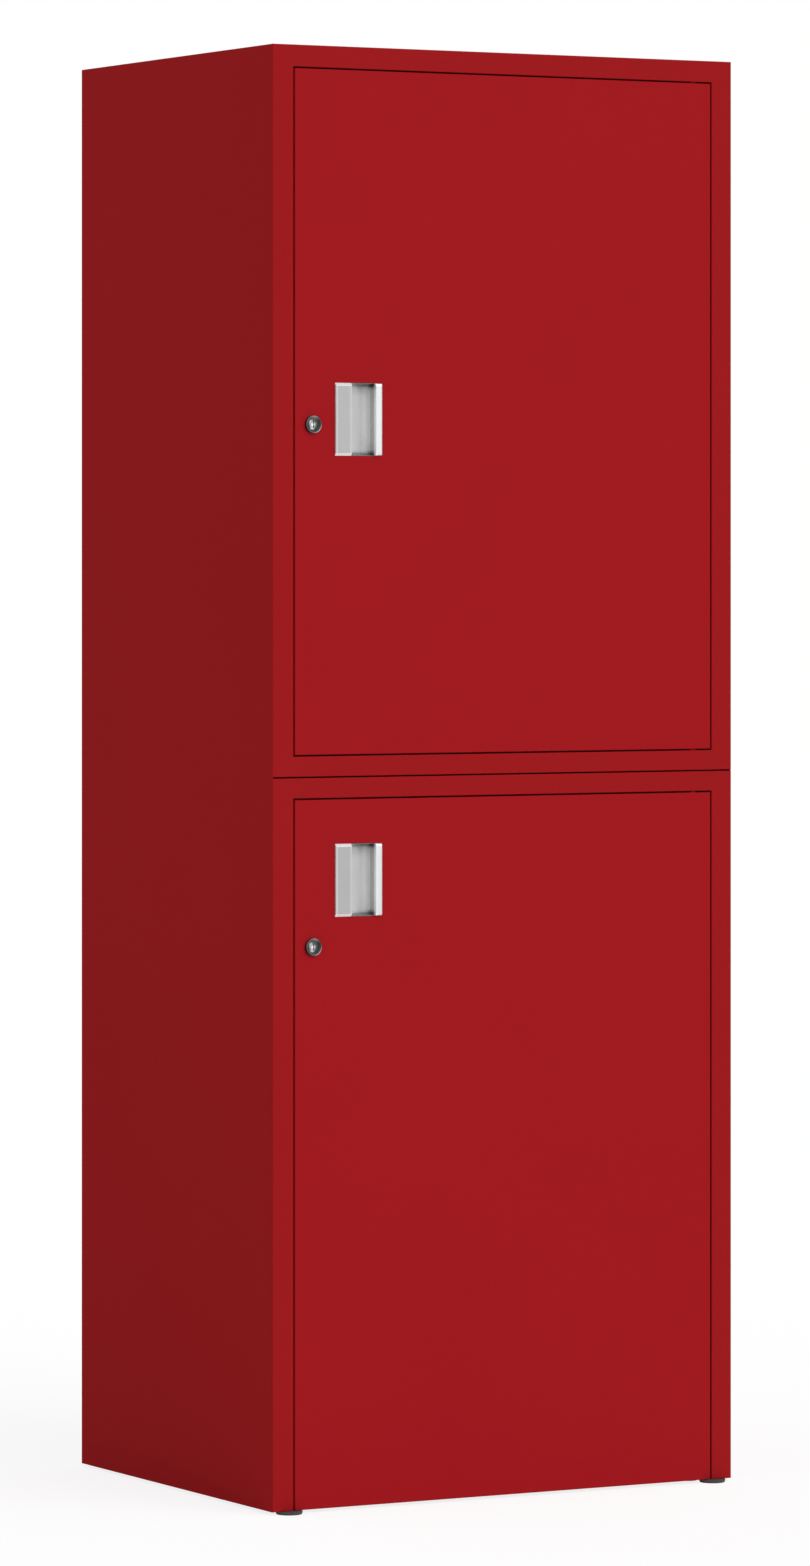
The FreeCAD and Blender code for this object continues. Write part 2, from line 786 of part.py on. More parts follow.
def foot_screw(front):
    """Pan-head screw up through the foot into the tapped base plate."""
    head_z = foot_recess_depth - foot_screw_head_height
    head = rod(foot_screw_head_radius, foot_point(front, head_z), UP, foot_screw_head_height)
    shank_length = plate_top_z - foot_recess_depth
    shank = rod(foot_screw_radius, foot_point(front, foot_recess_depth), UP, shank_length)
    return merge([head, shank])


# ---------------------------------------------------------------------------------------
# Shelving
# ---------------------------------------------------------------------------------------

def slot_levels(z_span):
    """Heights of the lower edges of a strip's slots."""
    count = int((z_span[1] - z_span[0] - slot_pitch) // slot_pitch)
    return [z_span[0] + slot_pitch * (step + 0.5) for step in range(count)]


def shelf_levels(z_span):
    """Heights of the slots that carry the shelves, spread evenly over a compartment."""
    levels = slot_levels(z_span)
    shares = [(step + 1) / (shelves_per_compartment + 1) for step in range(shelves_per_compartment)]
    return [levels[int(round(share * (len(levels) - 1)))] for share in shares]


def shelf_strips(z_span):
    """Left front and left rear slotted channels on the side panel."""
    strips = []
    for y in (front_strip_y, rear_strip_y):
        y_span = (y - strip_width / 2.0, y + strip_width / 2.0)
        web = block((-strip_face_x - strip_gauge, -strip_face_x), y_span, z_span)
        leg_x = (-inner_side_x, -strip_face_x)
        front_leg = block(leg_x, (y_span[0], y_span[0] + strip_gauge), z_span)
        rear_leg = block(leg_x, (y_span[1] - strip_gauge, y_span[1]), z_span)
        slot_x = (-strip_face_x - strip_gauge, -strip_face_x)
        slot_y = (y - slot_width / 2.0, y + slot_width / 2.0)
        slots = [block(slot_x, slot_y, (z, z + slot_height)) for z in slot_levels(z_span)]
        strips.append(merge([web, front_leg, rear_leg]).cut(Part.makeCompound(slots)))
    return Part.makeCompound(strips)


def shelf_clip(y, z):
    """Left clip with its tongue in a slot and its ledge under a shelf."""
    y_span = (y - clip_width / 2.0, y + clip_width / 2.0)
    half_tongue = slot_width / 2.0 - clip_tongue_clearance
    tongue_x = (-strip_face_x - strip_gauge - clip_tongue_reach, -strip_face_x + clip_gauge)
    tongue = block(tongue_x, (y - half_tongue, y + half_tongue), (z, z + clip_gauge))
    ledge = block((-strip_face_x, -strip_face_x + clip_ledge), y_span, (z, z + clip_gauge))
    leg = block((-strip_face_x, -strip_face_x + clip_gauge), y_span, (z - clip_leg, z + clip_gauge))
    return merge([tongue, ledge, leg])


def shelf(z):
    """Shelf tray that rests on the clips whose slots start at a height."""
    z_level = z + clip_gauge + shelf_gauge
    y_span = (depth(shelf_front_inset), back_y - panel_gauge - shelf_back_clearance)
    x_half = strip_face_x - shelf_side_clearance
    return flanged_tray(x_half, y_span, z_level, z_level - shelf_flange, shelf_gauge)


# ---------------------------------------------------------------------------------------
# Assembly
# ---------------------------------------------------------------------------------------

def build_carcass():
    """Write the sheet panels of the carcass."""
    left = side_panel()
    save("left_side_panel", left)
    save("right_side_panel", mirrored(left))
    save("back_panel", back_panel())
    save("top_panel", top_panel())
    save("middle_deck", middle_deck())
    save("floor_panel", floor_panel())


def build_frames():
    """Write the members of the upper and lower face frames and their hinge plates."""
    upper_z = (upper_frame_z, top_z)
    lower_z = (base_z, lower_frame_z)
    upper_leg_z = (upper_frame_z, top_z - panel_gauge)
    lower_leg_z = (plate_top_z, lower_frame_z)
    top_inner = upper_opening_z[1]
    lower_inner = lower_opening_z[1]
    upper_lip_z = (deck_z + stop_lip, top_inner - stop_lip)
    lower_lip_z = (plate_top_z, lower_inner - stop_lip)
    upper_left = latch_stile(upper_z, upper_leg_z, upper_opening_z, upper_lip_z, upper_catch_z)
    lower_left = latch_stile(lower_z, lower_leg_z, lower_opening_z, lower_lip_z, lower_catch_z)
    save("upper_left_stile", upper_left)
    save("lower_left_stile", lower_left)
    save("upper_right_stile", mirrored(stile(upper_z, upper_leg_z, upper_opening_z)))
    save("lower_right_stile", mirrored(stile(lower_z, lower_leg_z, lower_opening_z)))
    save("upper_top_rail", drilled_for_pin(rail(top_z, top_inner, panel_gauge)))
    save("upper_bottom_rail", drilled_for_pin(rail(upper_frame_z, deck_z, 0.0)))
    save("lower_top_rail", drilled_for_pin(rail(lower_frame_z, lower_inner, 0.0)))
    plates = [hinge_plate(top_inner, -1.0), hinge_plate(deck_z, 1.0), hinge_plate(lower_inner, -1.0)]
    save("hinge_plates", Part.makeCompound(plates))


def build_pivots():
    """Write the lowest pin's bracket, the pins and the bushes in the doors."""
    save("lower_pivot_bracket", pivot_bracket())
    seat = frame_gauge + hinge_plate_gauge
    upper_pins = [
        pivot_pin(upper_opening_z[1], -1.0, seat, door_gap, True),
        pivot_pin(deck_z, 1.0, seat, door_gap, True),
    ]
    lower_pins = [
        pivot_pin(lower_opening_z[1], -1.0, seat, door_gap, True),
        pivot_pin(base_z, 1.0, pivot_bracket_gauge, door_base_clearance, False),
    ]
    save("upper_pivot_pins", Part.makeCompound(upper_pins))
    save("lower_pivot_pins", Part.makeCompound(lower_pins))
    for name, z_span in (("upper", upper_door_z), ("lower", lower_door_z)):
        bushes = [pivot_bush(z_span[0], 1.0), pivot_bush(z_span[1], -1.0)]
        save(name + "_door_bushes", Part.makeCompound(bushes))


def build_doors():
    """Write both doors with their pulls and locks."""
    doors = (
        ("upper", upper_door_z, upper_pull_z, upper_lock_z),
        ("lower", lower_door_z, lower_pull_z, lower_lock_z),
    )
    for name, z_span, pull_z, lock_z in doors:
        save(name + "_door_skin", door_skin(z_span, pull_z, lock_z))
        save(name + "_door_liner", door_liner(z_span, lock_z))
        save(name + "_door_pull", door_pull(pull_z))
        save(name + "_pull_screws", pull_screws(pull_z))
        save(name + "_lock_body", lock_body(lock_z))
        save(name + "_lock_nut", lock_nut(lock_z))
        save(name + "_lock_plug", lock_plug(lock_z))
        save(name + "_lock_cam", lock_cam(lock_z))
        save(name + "_cam_screw", cam_screw(lock_z))


def build_catches():
    """Write the magnetic catches, their screws and the door buffers."""
    levels = (upper_catch_z, lower_catch_z)
    save("magnetic_catches", Part.makeCompound([magnetic_catch(z) for z in levels]))
    save("catch_magnets", Part.makeCompound([catch_magnet(z) for z in levels]))
    save("catch_screws", Part.makeCompound([screw for z in levels for screw in catch_screws(z)]))
    upper_buffers = door_buffers(upper_door_z[0], upper_catch_z)
    lower_buffers = door_buffers(lower_door_z[0], lower_catch_z)
    save("door_buffers", Part.makeCompound(upper_buffers + lower_buffers))


def build_base():
    """Write the corner plates, the feet and their screws."""
    screws = []
    for row, front in (("front", True), ("rear", False)):
        plate = base_plate(front)
        pad = foot_pad(front)
        save(row + "_left_base_plate", plate)
        save(row + "_right_base_plate", mirrored(plate))
        save(row + "_left_foot", pad)
        save(row + "_right_foot", mirrored(pad))
        screws += [foot_screw(front), mirrored(foot_screw(front))]
    save("foot_screws", Part.makeCompound(screws))


def build_shelving():
    """Write the slotted strips, shelves and clips of both compartments."""
    compartments = (
        ("upper", (deck_z + strip_end_gap, upper_opening_z[1] - strip_end_gap)),
        ("lower", (floor_z + strip_end_gap, lower_opening_z[1] - strip_end_gap)),
    )
    clips = []
    for name, z_span in compartments:
        strips = shelf_strips(z_span)
        save(name + "_left_shelf_strips", strips)
        save(name + "_right_shelf_strips", mirrored(strips))
        for number, z in enumerate(shelf_levels(z_span), start=1):
            save(f"{name}_shelf_{number}", shelf(z))
            for y in (front_strip_y, rear_strip_y):
                clip = shelf_clip(y, z)
                clips += [clip, mirrored(clip)]
    save("shelf_clips", Part.makeCompound(clips))


os.makedirs("parts", exist_ok=True)
build_carcass()
build_frames()
build_pivots()
build_doors()
build_catches()
build_base()
build_shelving()
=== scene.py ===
"""Dressed model of a two-compartment tool locker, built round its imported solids.

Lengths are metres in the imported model's frame: +Z up, -Y out of the doors, +X towards the hinge
side, and the origin on the floor under the middle of the locker.
"""

import json
import logging
import math
from collections.abc import Mapping, Sequence
from dataclasses import dataclass, field
from enum import Enum

import bmesh
import bpy
import numpy as np
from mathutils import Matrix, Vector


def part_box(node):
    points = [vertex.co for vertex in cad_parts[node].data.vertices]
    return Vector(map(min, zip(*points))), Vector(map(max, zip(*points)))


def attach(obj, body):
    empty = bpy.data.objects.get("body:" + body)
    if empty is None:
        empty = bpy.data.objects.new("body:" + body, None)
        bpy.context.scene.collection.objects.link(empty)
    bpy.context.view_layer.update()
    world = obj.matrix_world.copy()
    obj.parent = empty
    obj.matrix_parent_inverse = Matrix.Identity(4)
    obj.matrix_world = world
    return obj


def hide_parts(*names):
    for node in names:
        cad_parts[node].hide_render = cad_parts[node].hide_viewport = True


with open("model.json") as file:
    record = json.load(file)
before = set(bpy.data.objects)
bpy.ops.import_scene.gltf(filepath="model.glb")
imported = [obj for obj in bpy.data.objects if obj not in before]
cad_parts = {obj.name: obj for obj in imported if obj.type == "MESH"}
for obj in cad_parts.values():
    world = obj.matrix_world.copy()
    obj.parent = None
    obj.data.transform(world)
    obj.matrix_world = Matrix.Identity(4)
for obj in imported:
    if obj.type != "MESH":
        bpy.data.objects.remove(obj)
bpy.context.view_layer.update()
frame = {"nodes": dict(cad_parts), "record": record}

MM = 0.001
MERGE_DISTANCE = 0.002 * MM
SHARP_ANGLE = math.radians(32.0)
SEGMENTS = 40  # round small turned parts
FINE_SEGMENTS = 72  # round the locks' housings and the feet
WHITE = (1.0, 1.0, 1.0, 1.0)
SILVER = (0.99, 0.995, 1.0)
# Mesh attribute of linear greys, which carry painted light and shade on the pulls and the locks
TONE_WITH_PAINTED_LIGHT = "tone"
POLISH = "polish"
UNITS = ("upper", "lower")
SIDES = ("left", "right")
CORNERS = ("front_left", "front_right", "rear_left", "rear_right")
LOG = logging.getLogger("locker")


# ---------------------------------------------------------------------------------------
# Shader writing
# ---------------------------------------------------------------------------------------

class Wire:
    """A shader node's output that can stand in a sum, where each operator adds a Math node."""

    def __init__(self, graph: "Graph", socket: bpy.types.NodeSocket) -> None:
        """Keep the output, and the graph that new Math nodes go into."""
        self.graph = graph
        self.socket = socket

    def _math(self, operation: str, *terms: "Wire | float") -> "Wire":
        """Result of one Math node, its terms being wires or numbers in the node's own order."""
        return self.graph.add("ShaderNodeMath", {"operation": operation}, dict(enumerate(terms)))

    def __add__(self, other: "Wire | float") -> "Wire":
        """Sum."""
        return self._math("ADD", self, other)

    def __radd__(self, other: float) -> "Wire":
        """Sum with a number on the left."""
        return self._math("ADD", other, self)

    def __sub__(self, other: "Wire | float") -> "Wire":
        """Difference."""
        return self._math("SUBTRACT", self, other)

    def __mul__(self, other: "Wire | float") -> "Wire":
        """Product."""
        return self._math("MULTIPLY", self, other)

    def __rmul__(self, other: float) -> "Wire":
        """Product with a number on the left."""
        return self._math("MULTIPLY", other, self)

    def largest(self, other: "Wire | float") -> "Wire":
        """Larger of two values."""
        return self._math("MAXIMUM", self, other)

    def wave(self) -> "Wire":
        """Sine of the value."""
        return self._math("SINE", self)

    def about(self, middle: "Wire | float", swing: float) -> "Wire":
        """Value that follows this one, from 0 to 1, with a given swing about a middle."""
        return middle + swing * (self - 0.5)


class Graph:
    """Node tree of one material or world."""

    def __init__(self, tree: bpy.types.NodeTree) -> None:
        """Empty the node tree of a material or a world."""
        self.tree = tree
        tree.nodes.clear()

    def add(
        self,
        kind: str,
        settings: Mapping[str, object] | None = None,
        inputs: Mapping[int | str, object] | None = None,
        output: int | str = 0,
    ) -> Wire:
        """Add any node, its settings first and its sockets after them.

        Args:
            kind: Blender's type name of the node.
            settings: Attributes of the node. ``stops`` holds a ramp's (place, grey) pairs.
            inputs: Values or wires by socket number or name.
            output: Number or name of the output that is wanted.

        Returns:
            That output.
        """
        node = self.tree.nodes.new(kind)
        for key, value in (settings or {}).items():
            if key == "stops":
                self._set_stops(node.color_ramp, value)
            else:
                setattr(node, key, value)
        for key, value in (inputs or {}).items():
            if isinstance(value, Wire):
                self.tree.links.new(value.socket, node.inputs[key])
            else:
                node.inputs[key].default_value = value
        return Wire(self, node.outputs[output]) if len(node.outputs) else Wire(self, None)

    @staticmethod
    def _set_stops(ramp: bpy.types.ColorRamp, stops: Sequence[tuple[float, float]]) -> None:
        """Give a ramp grey stops.

        Args:
            ramp: Ramp with Blender's two first stops.
            stops: Place and grey value of each stop, in rising order.
        """
        while len(ramp.elements) < len(stops):
            ramp.elements.new(0.5)
        for element, (place, grey) in zip(ramp.elements, stops):
            element.position = place
            element.color = (grey, grey, grey, 1.0)

    def place(self, centre: tuple[float, float, float] = (0.0, 0.0, 0.0),
              stretch: tuple[float, float, float] = (1.0, 1.0, 1.0)) -> Wire:
        """Object coordinates, moved to a centre and stretched.

        Args:
            centre: Point that becomes the pattern's origin.
            stretch: Factor of each axis, above 1 for a finer pattern.

        Returns:
            The coordinates.
        """
        own = self.add("ShaderNodeTexCoord", output="Object")
        away = tuple(-c * s for c, s in zip(centre, stretch))
        return self.add("ShaderNodeMapping", inputs={"Vector": own, "Location": away, "Scale": stretch})

    def noise(self, where: Wire, scale: float, detail: float = 2.0, rough: float = 0.5) -> Wire:
        """Soft noise from 0 to 1: cells per metre, octaves, and the share that each keeps."""
        inputs = {"Vector": where, "Scale": scale, "Detail": detail, "Roughness": rough}
        return self.add("ShaderNodeTexNoise", inputs=inputs)

    def blend(self, share: Wire, low: Sequence[float], high: Sequence[float]) -> Wire:
        """Mix of two linear colours, which is the low one where the share is 0."""
        inputs = {0: share, 6: (*low, 1.0), 7: (*high, 1.0)}
        return self.add("ShaderNodeMix", {"data_type": "RGBA"}, inputs, 2)

    def carried(self, attribute: str) -> Wire:
        """Value that the mesh carries at each point, in the attribute of that name."""
        return self.add("ShaderNodeAttribute", {"attribute_name": attribute}, output="Fac")

    def grey(self, tone: float | None, factor: Wire) -> Wire:
        """Silvery grey of a linear tone, or for None of the mesh's own, painted light and shade
        included, times a factor.
        """
        tone = self.carried(TONE_WITH_PAINTED_LIGHT) if tone is None else tone
        return self.blend(factor * tone, (0.0, 0.0, 0.0), SILVER)

    def bump(self, height: Wire, lift: float, strength: float = 1.0) -> Wire:
        """Normal from a height between 0 and 1, of which 1 is lifted by so many metres."""
        inputs = {"Height": height, "Distance": lift, "Strength": strength}
        return self.add("ShaderNodeBump", inputs=inputs, output="Normal")

    def surface(self, shader: Wire) -> None:
        """Send a shader to the material's or the world's output.

        Args:
            shader: The shader.
        """
        is_world = isinstance(self.tree.id_data, bpy.types.World)
        kind = "ShaderNodeOutputWorld" if is_world else "ShaderNodeOutputMaterial"
        self.add(kind, inputs={"Surface": shader})


# ---------------------------------------------------------------------------------------
# Finishes
# ---------------------------------------------------------------------------------------

@dataclass(frozen=True)
class Finish:
    """Surface finish with its name, its look being told by the finishes made from it.

    Attributes:
        name: Name of the material.
    """

    name: str

    def describe(self, graph: Graph) -> dict[str, object]:
        """Values and wires for the surface shader, by socket name."""
        raise NotImplementedError

    def material(self) -> bpy.types.Material:
        """Material of this finish, made on first use.

        Returns:
            The material.
        """
        made = bpy.data.materials.get(self.name)
        if made is None:
            made = bpy.data.materials.new(self.name)
            made.use_nodes = True
            graph = Graph(made.node_tree)
            graph.surface(graph.add("ShaderNodeBsdfPrincipled", inputs=self.describe(graph)))
        return made


@dataclass(frozen=True)
class Enamel(Finish):
    """Stoved enamel on sheet steel: even colour, faint clouds and a fine orange peel.

    Attributes:
        colour: Linear colour where the film is thick.
        thin_colour: Linear colour where the film is a little thinner.
        gloss_level: Level of the mirror part.
        roughness: Mean roughness of the film.
        roughness_swing: How far the roughness drifts in all.
        clouds_per_metre: Clouds of thin and thick film in a metre.
        drift_per_metre: Drifts of the roughness in a metre.
        peel_per_metre: Ripples of the orange peel in a metre.
        peel_lift: Height of the ripples.
    """

    colour: tuple[float, float, float] = (0.343, 0.0122, 0.0146)
    thin_colour: tuple[float, float, float] = (0.328, 0.0113, 0.0136)
    gloss_level: float = 0.003
    roughness: float = 0.36
    roughness_swing: float = 0.05
    clouds_per_metre: float = 5.0
    drift_per_metre: float = 38.0
    peel_per_metre: float = 520.0
    peel_lift: float = 0.012 * MM

    def describe(self, graph: Graph) -> dict[str, object]:
        """Clouds feed the colour, a wider noise the roughness and the peel the normal.

        Args:
            graph: Graph for the nodes of the pattern.

        Returns:
            Values and wires by socket name.
        """
        where = graph.place()
        clouds = graph.noise(where, self.clouds_per_metre, detail=3.0)
        drift = graph.noise(where, self.drift_per_metre)
        peel = graph.noise(where, self.peel_per_metre, detail=1.5, rough=0.4)
        return {
            "Base Color": graph.blend(clouds, self.thin_colour, self.colour),
            "Roughness": drift.about(self.roughness, self.roughness_swing),
            "Specular IOR Level": self.gloss_level,
            "Normal": graph.bump(peel, self.peel_lift),
        }


@dataclass(frozen=True)
class SatinCasting(Finish):
    """Die-cast zinc with a satin silver plate: fine even grain and faint clouds.

    Attributes:
        tone: Linear grey of the plate, or None where the mesh's own tones, with their painted light and
            shade, give it.
        roughness: Mean roughness.
        metallic: Share that reflects as metal, or None where the mesh's own polish gives it.
        clouds_per_metre: Clouds in a metre.
        grain_per_metre: Grains in a metre.
        grain_lift: Height of the grain.
        cloud_swing: How far the clouds swing the tone and the roughness.
        grain_swing: How far the grain swings the roughness.
    """

    tone: float | None = 0.5
    roughness: float = 0.42
    metallic: float | None = 0.35
    clouds_per_metre: float = 70.0
    grain_per_metre: float = 2600.0
    grain_lift: float = 0.008 * MM
    cloud_swing: float = 0.10
    grain_swing: float = 0.06

    def describe(self, graph: Graph) -> dict[str, object]:
        """Clouds feed colour and roughness, the grain feeds the normal.

        Args:
            graph: Graph for the nodes of the pattern.

        Returns:
            Values and wires by socket name.
        """
        where = graph.place()
        clouds = graph.noise(where, self.clouds_per_metre, detail=3.0)
        grain = graph.noise(where, self.grain_per_metre)
        return {
            "Base Color": graph.grey(self.tone, clouds.about(1.0, self.cloud_swing)),
            "Metallic": graph.carried(POLISH) if self.metallic is None else self.metallic,
            "Roughness": grain.about(clouds.about(self.roughness, self.cloud_swing), self.grain_swing),
            "Normal": graph.bump(grain, self.grain_lift),
        }


@dataclass(frozen=True)
class TurnedChrome(Finish):
    """Chrome plate on a turned part, with its faint turning rings.

    Attributes:
        centre: Point on the axis, which runs along Y.
        tone: Linear grey of the plate, or None where the mesh's own tones, with their painted light and
            shade, give it.
        roughness: Mean roughness.
        wear_per_metre: Worn spots in a metre.
        wear_tone: How far the wear swings the tone.
        wear_roughness: How far the wear swings the roughness.
        rings_per_metre: Turning rings in a metre of radius.
        ring_roughness: Roughness that the crest of a ring adds.
        ring_lift: Height of the rings.
        ring_strength: Share of that height that shows.
    """

    centre: tuple[float, float, float] = (0.0, 0.0, 0.0)
    tone: float | None = 0.5
    roughness: float = 0.34
    wear_per_metre: float = 900.0
    wear_tone: float = 0.20
    wear_roughness: float = 0.08
    rings_per_metre: float = 2600.0
    ring_roughness: float = 0.04
    ring_lift: float = 0.006 * MM
    ring_strength: float = 0.6

    def describe(self, graph: Graph) -> dict[str, object]:
        """The rings are the sine of the distance from the axis.

        Args:
            graph: Graph for the nodes of the pattern.

        Returns:
            Values and wires by socket name.
        """
        flat = graph.place(self.centre, (1.0, 0.0, 1.0))
        radius = graph.add("ShaderNodeVectorMath", {"operation": "LENGTH"}, {0: flat}, "Value")
        rings = 0.5 + 0.5 * (radius * (self.rings_per_metre * math.tau)).wave()
        wear = graph.noise(graph.place(self.centre), self.wear_per_metre, detail=3.0)
        return {
            "Base Color": graph.grey(self.tone, wear.about(1.0, self.wear_tone)),
            "Metallic": 1.0,
            "Roughness": wear.about(self.roughness, self.wear_roughness) + self.ring_roughness * rings,
            "Normal": graph.bump(rings, self.ring_lift, self.ring_strength),
        }


@dataclass(frozen=True)
class ZincPlate(Finish):
    """Bright zinc plate with a passivated tint that drifts from bluish to straw.

    Attributes:
        cool: Linear bluish colour.
        warm: Linear straw colour.
        roughness: Mean roughness.
        metallic: Share that reflects as metal.
        clouds_per_metre: Clouds of the tint in a metre.
        cloud_swing: How far the clouds swing the roughness.
        grain_per_metre: Grains in a metre across the rolling.
        grain_stretch: Their fineness along the rolling, as a share of that.
        grain_swing: How far the grain swings the roughness.
        grain_lift: Height of the grain.
    """

    cool: tuple[float, float, float] = (0.53, 0.55, 0.58)
    warm: tuple[float, float, float] = (0.60, 0.58, 0.52)
    roughness: float = 0.34
    metallic: float = 0.95
    clouds_per_metre: float = 60.0
    cloud_swing: float = 0.14
    grain_per_metre: float = 2400.0
    grain_stretch: float = 0.04
    grain_swing: float = 0.10
    grain_lift: float = 0.006 * MM

    def describe(self, graph: Graph) -> dict[str, object]:
        """Clouds feed the tint, and stretched noise gives the rolled steel's grain.

        Args:
            graph: Graph for the nodes of the pattern.

        Returns:
            Values and wires by socket name.
        """
        clouds = graph.noise(graph.place(), self.clouds_per_metre, detail=3.0)
        rolled = graph.place(stretch=(1.0, 1.0, self.grain_stretch))
        grain = graph.noise(rolled, self.grain_per_metre)
        return {
            "Base Color": graph.blend(clouds, self.cool, self.warm),
            "Metallic": self.metallic,
            "Roughness": grain.about(clouds.about(self.roughness, self.cloud_swing), self.grain_swing),
            "Normal": graph.bump(grain, self.grain_lift),
        }


@dataclass(frozen=True)
class Moulding(Finish):
    """Moulded rubber or plastic with a fine stipple from its mould.

    Attributes:
        colour: Linear colour.
        scuffed: Linear colour where it is scuffed or dusty.
        roughness: Mean roughness.
        gloss_level: Level of the mirror part.
        scuffs_per_metre: Scuffs in a metre.
        scuff_range: Levels of the scuffs' noise at which they start and are complete.
        scuff_swing: How far the scuffs swing the roughness.
        stipple_per_metre: Pits in a metre.
        stipple_lift: Depth of the pits.
    """

    colour: tuple[float, float, float] = (0.03, 0.03, 0.03)
    scuffed: tuple[float, float, float] = (0.06, 0.06, 0.06)
    roughness: float = 0.6
    gloss_level: float = 0.4
    scuffs_per_metre: float = 480.0
    scuff_range: tuple[float, float] = (0.40, 0.85)
    scuff_swing: float = 0.12
    stipple_per_metre: float = 1500.0
    stipple_lift: float = 0.02 * MM

    def describe(self, graph: Graph) -> dict[str, object]:
        """Scuffs feed colour and roughness, rounded pits feed the normal.

        Args:
            graph: Graph for the nodes of the pattern.

        Returns:
            Values and wires by socket name.
        """
        where = graph.place()
        scuffs = graph.noise(where, self.scuffs_per_metre, detail=4.0, rough=0.6)
        stops = tuple(zip(self.scuff_range, (0.0, 1.0)))
        shown = graph.add("ShaderNodeValToRGB", {"stops": stops}, {"Fac": scuffs})
        stipple = {"Vector": where, "Scale": self.stipple_per_metre}
        pits = graph.add("ShaderNodeTexVoronoi", inputs=stipple)
        return {
            "Base Color": graph.blend(shown, self.colour, self.scuffed),
            "Roughness": scuffs.about(self.roughness, self.scuff_swing),
            "Specular IOR Level": self.gloss_level,
            "Normal": graph.bump(pits, self.stipple_lift),
        }


@dataclass(frozen=True)
class Ferrite(Finish):
    """Ground ferrite magnet: dark grey with grinding lines.

    Attributes:
        colour: Linear colour in the grinding lines.
        pale_colour: Linear colour between them.
        roughness: Mean roughness.
        roughness_swing: How far the lines swing the roughness.
        metallic: Share that reflects as metal.
        lines_per_metre: Grinding lines in a metre.
        line_stretch: Their fineness lengthwise, as a share of that.
        line_lift: Height between the lines.
    """

    colour: tuple[float, float, float] = (0.055, 0.055, 0.058)
    pale_colour: tuple[float, float, float] = (0.088, 0.088, 0.0928)
    roughness: float = 0.45
    roughness_swing: float = 0.15
    metallic: float = 0.3
    lines_per_metre: float = 3000.0
    line_stretch: float = 0.05
    line_lift: float = 0.01 * MM

    def describe(self, graph: Graph) -> dict[str, object]:
        """Stretched noise gives the grinding lines.

        Args:
            graph: Graph for the nodes of the pattern.

        Returns:
            Values and wires by socket name.
        """
        ground = graph.place(stretch=(1.0, 1.0, self.line_stretch))
        lines = graph.noise(ground, self.lines_per_metre)
        return {
            "Base Color": graph.blend(lines, self.colour, self.pale_colour),
            "Metallic": self.metallic,
            "Roughness": lines.about(self.roughness, self.roughness_swing),
            "Normal": graph.bump(lines, self.line_lift),
        }


class Slot(Enum):
    """The record's material slots with the finish that each one shows."""

    RED_PAINT = Enamel("red_enamel")
    ZINC_PLATE = ZincPlate("bright_zinc")
    SATIN_METAL = SatinCasting("satin_silver_casting")
    LOCK_CHROME = TurnedChrome("lock_chrome")
    NYLON = Moulding("natural_nylon", (0.66, 0.64, 0.58), (0.56, 0.54, 0.48), 0.42, 0.5)
    CATCH_PLASTIC = Moulding("black_catch_plastic", (0.012, 0.012, 0.013), (0.024,) * 3, 0.5, 0.45)
    MAGNET = Ferrite("ground_ferrite")
    BLACK_RUBBER = Moulding("black_rubber", (0.010, 0.010, 0.011), (0.028,) * 3, 0.72, 0.25)


DOOR_ENAMEL = Enamel("door_red_enamel", (0.358, 0.0117, 0.0154), (0.343, 0.0108, 0.0143))


# ---------------------------------------------------------------------------------------
# Mesh making
# ---------------------------------------------------------------------------------------

class Axis(Enum):
    """Axis that a turned part stands on: along it, and the two directions across it."""

    DEPTH = ((0.0, 1.0, 0.0), (1.0, 0.0, 0.0), (0.0, 0.0, 1.0))
    HEIGHT = ((0.0, 0.0, 1.0), (1.0, 0.0, 0.0), (0.0, 1.0, 0.0))


def softened(corners: np.ndarray, setback: Sequence[float], steps: int = 6) -> np.ndarray:
    """Open path whose inner corners are turned into smooth bends.

    With the leg directions a into and b out of a corner C and its setback t, the bend is
    C - (1 - s)^2 t a + s^2 t b for s from 0 to 1.

    Args:
        corners: Corner points, one row each.
        setback: How far before and behind each inner corner its bend starts and ends.
        steps: Points on each bend.

    Returns:
        Points of the path, one row each.
    """
    legs = np.diff(corners, axis=0)
    ways = legs / np.linalg.norm(legs, axis=1, keepdims=True)
    share = np.linspace(0.0, 1.0, steps)[None, :, None]
    reach = np.asarray(setback, float)[:, None, None]
    before = -((1.0 - share) ** 2) * reach * ways[:-1, None, :]
    behind = share**2 * reach * ways[1:, None, :]
    bends = (corners[1:-1, None, :] + before + behind).reshape(-1, corners.shape[1])
    return np.vstack([corners[:1], bends, corners[-1:]])


def refined(path: np.ndarray, step: float) -> np.ndarray:
    """Path with extra points, so that none of its runs is longer than about a step.

    Args:
        path: Points of the path, one row each.
        step: Longest run that is wanted.

    Returns:
        The old points with new ones at every step of the path's length between them.
    """
    runs = np.linalg.norm(np.diff(path, axis=0), axis=1)
    travel = np.concatenate([[0.0], np.cumsum(runs)])
    marks = np.union1d(travel, np.arange(0.0, travel[-1], step))
    shortest = step * 0.05
    keep = np.concatenate([[True], np.diff(marks) > shortest])
    columns = [np.interp(marks[keep], travel, path[:, axis]) for axis in range(path.shape[1])]
    return np.stack(columns, axis=1)


def turned(radius: np.ndarray, along: np.ndarray, centre: Sequence[float], axis: Axis,
           segments: int = SEGMENTS) -> np.ndarray:
    """Rings of a turned part: C + along a + radius (cos(t) u + sin(t) v).

    Args:
        radius: Radius of each ring, or of each ring's points as a row.
        along: Place of each ring along the axis, or of each ring's points as a row.
        centre: Origin of the places, on the axis.
        axis: Direction of the axis.
        segments: Points on a ring.

    Returns:
        Points as rings by segments by 3.
    """
    way, right, up = (np.array(v) for v in axis.value)
    angle = np.linspace(0.0, math.tau, segments, endpoint=False)
    radius, along = (v[:, None] if v.ndim == 1 else v for v in map(np.asarray, (radius, along)))
    across = np.cos(angle)[:, None] * right + np.sin(angle)[:, None] * up
    return np.asarray(centre, float) + along[:, :, None] * way + radius[:, :, None] * across


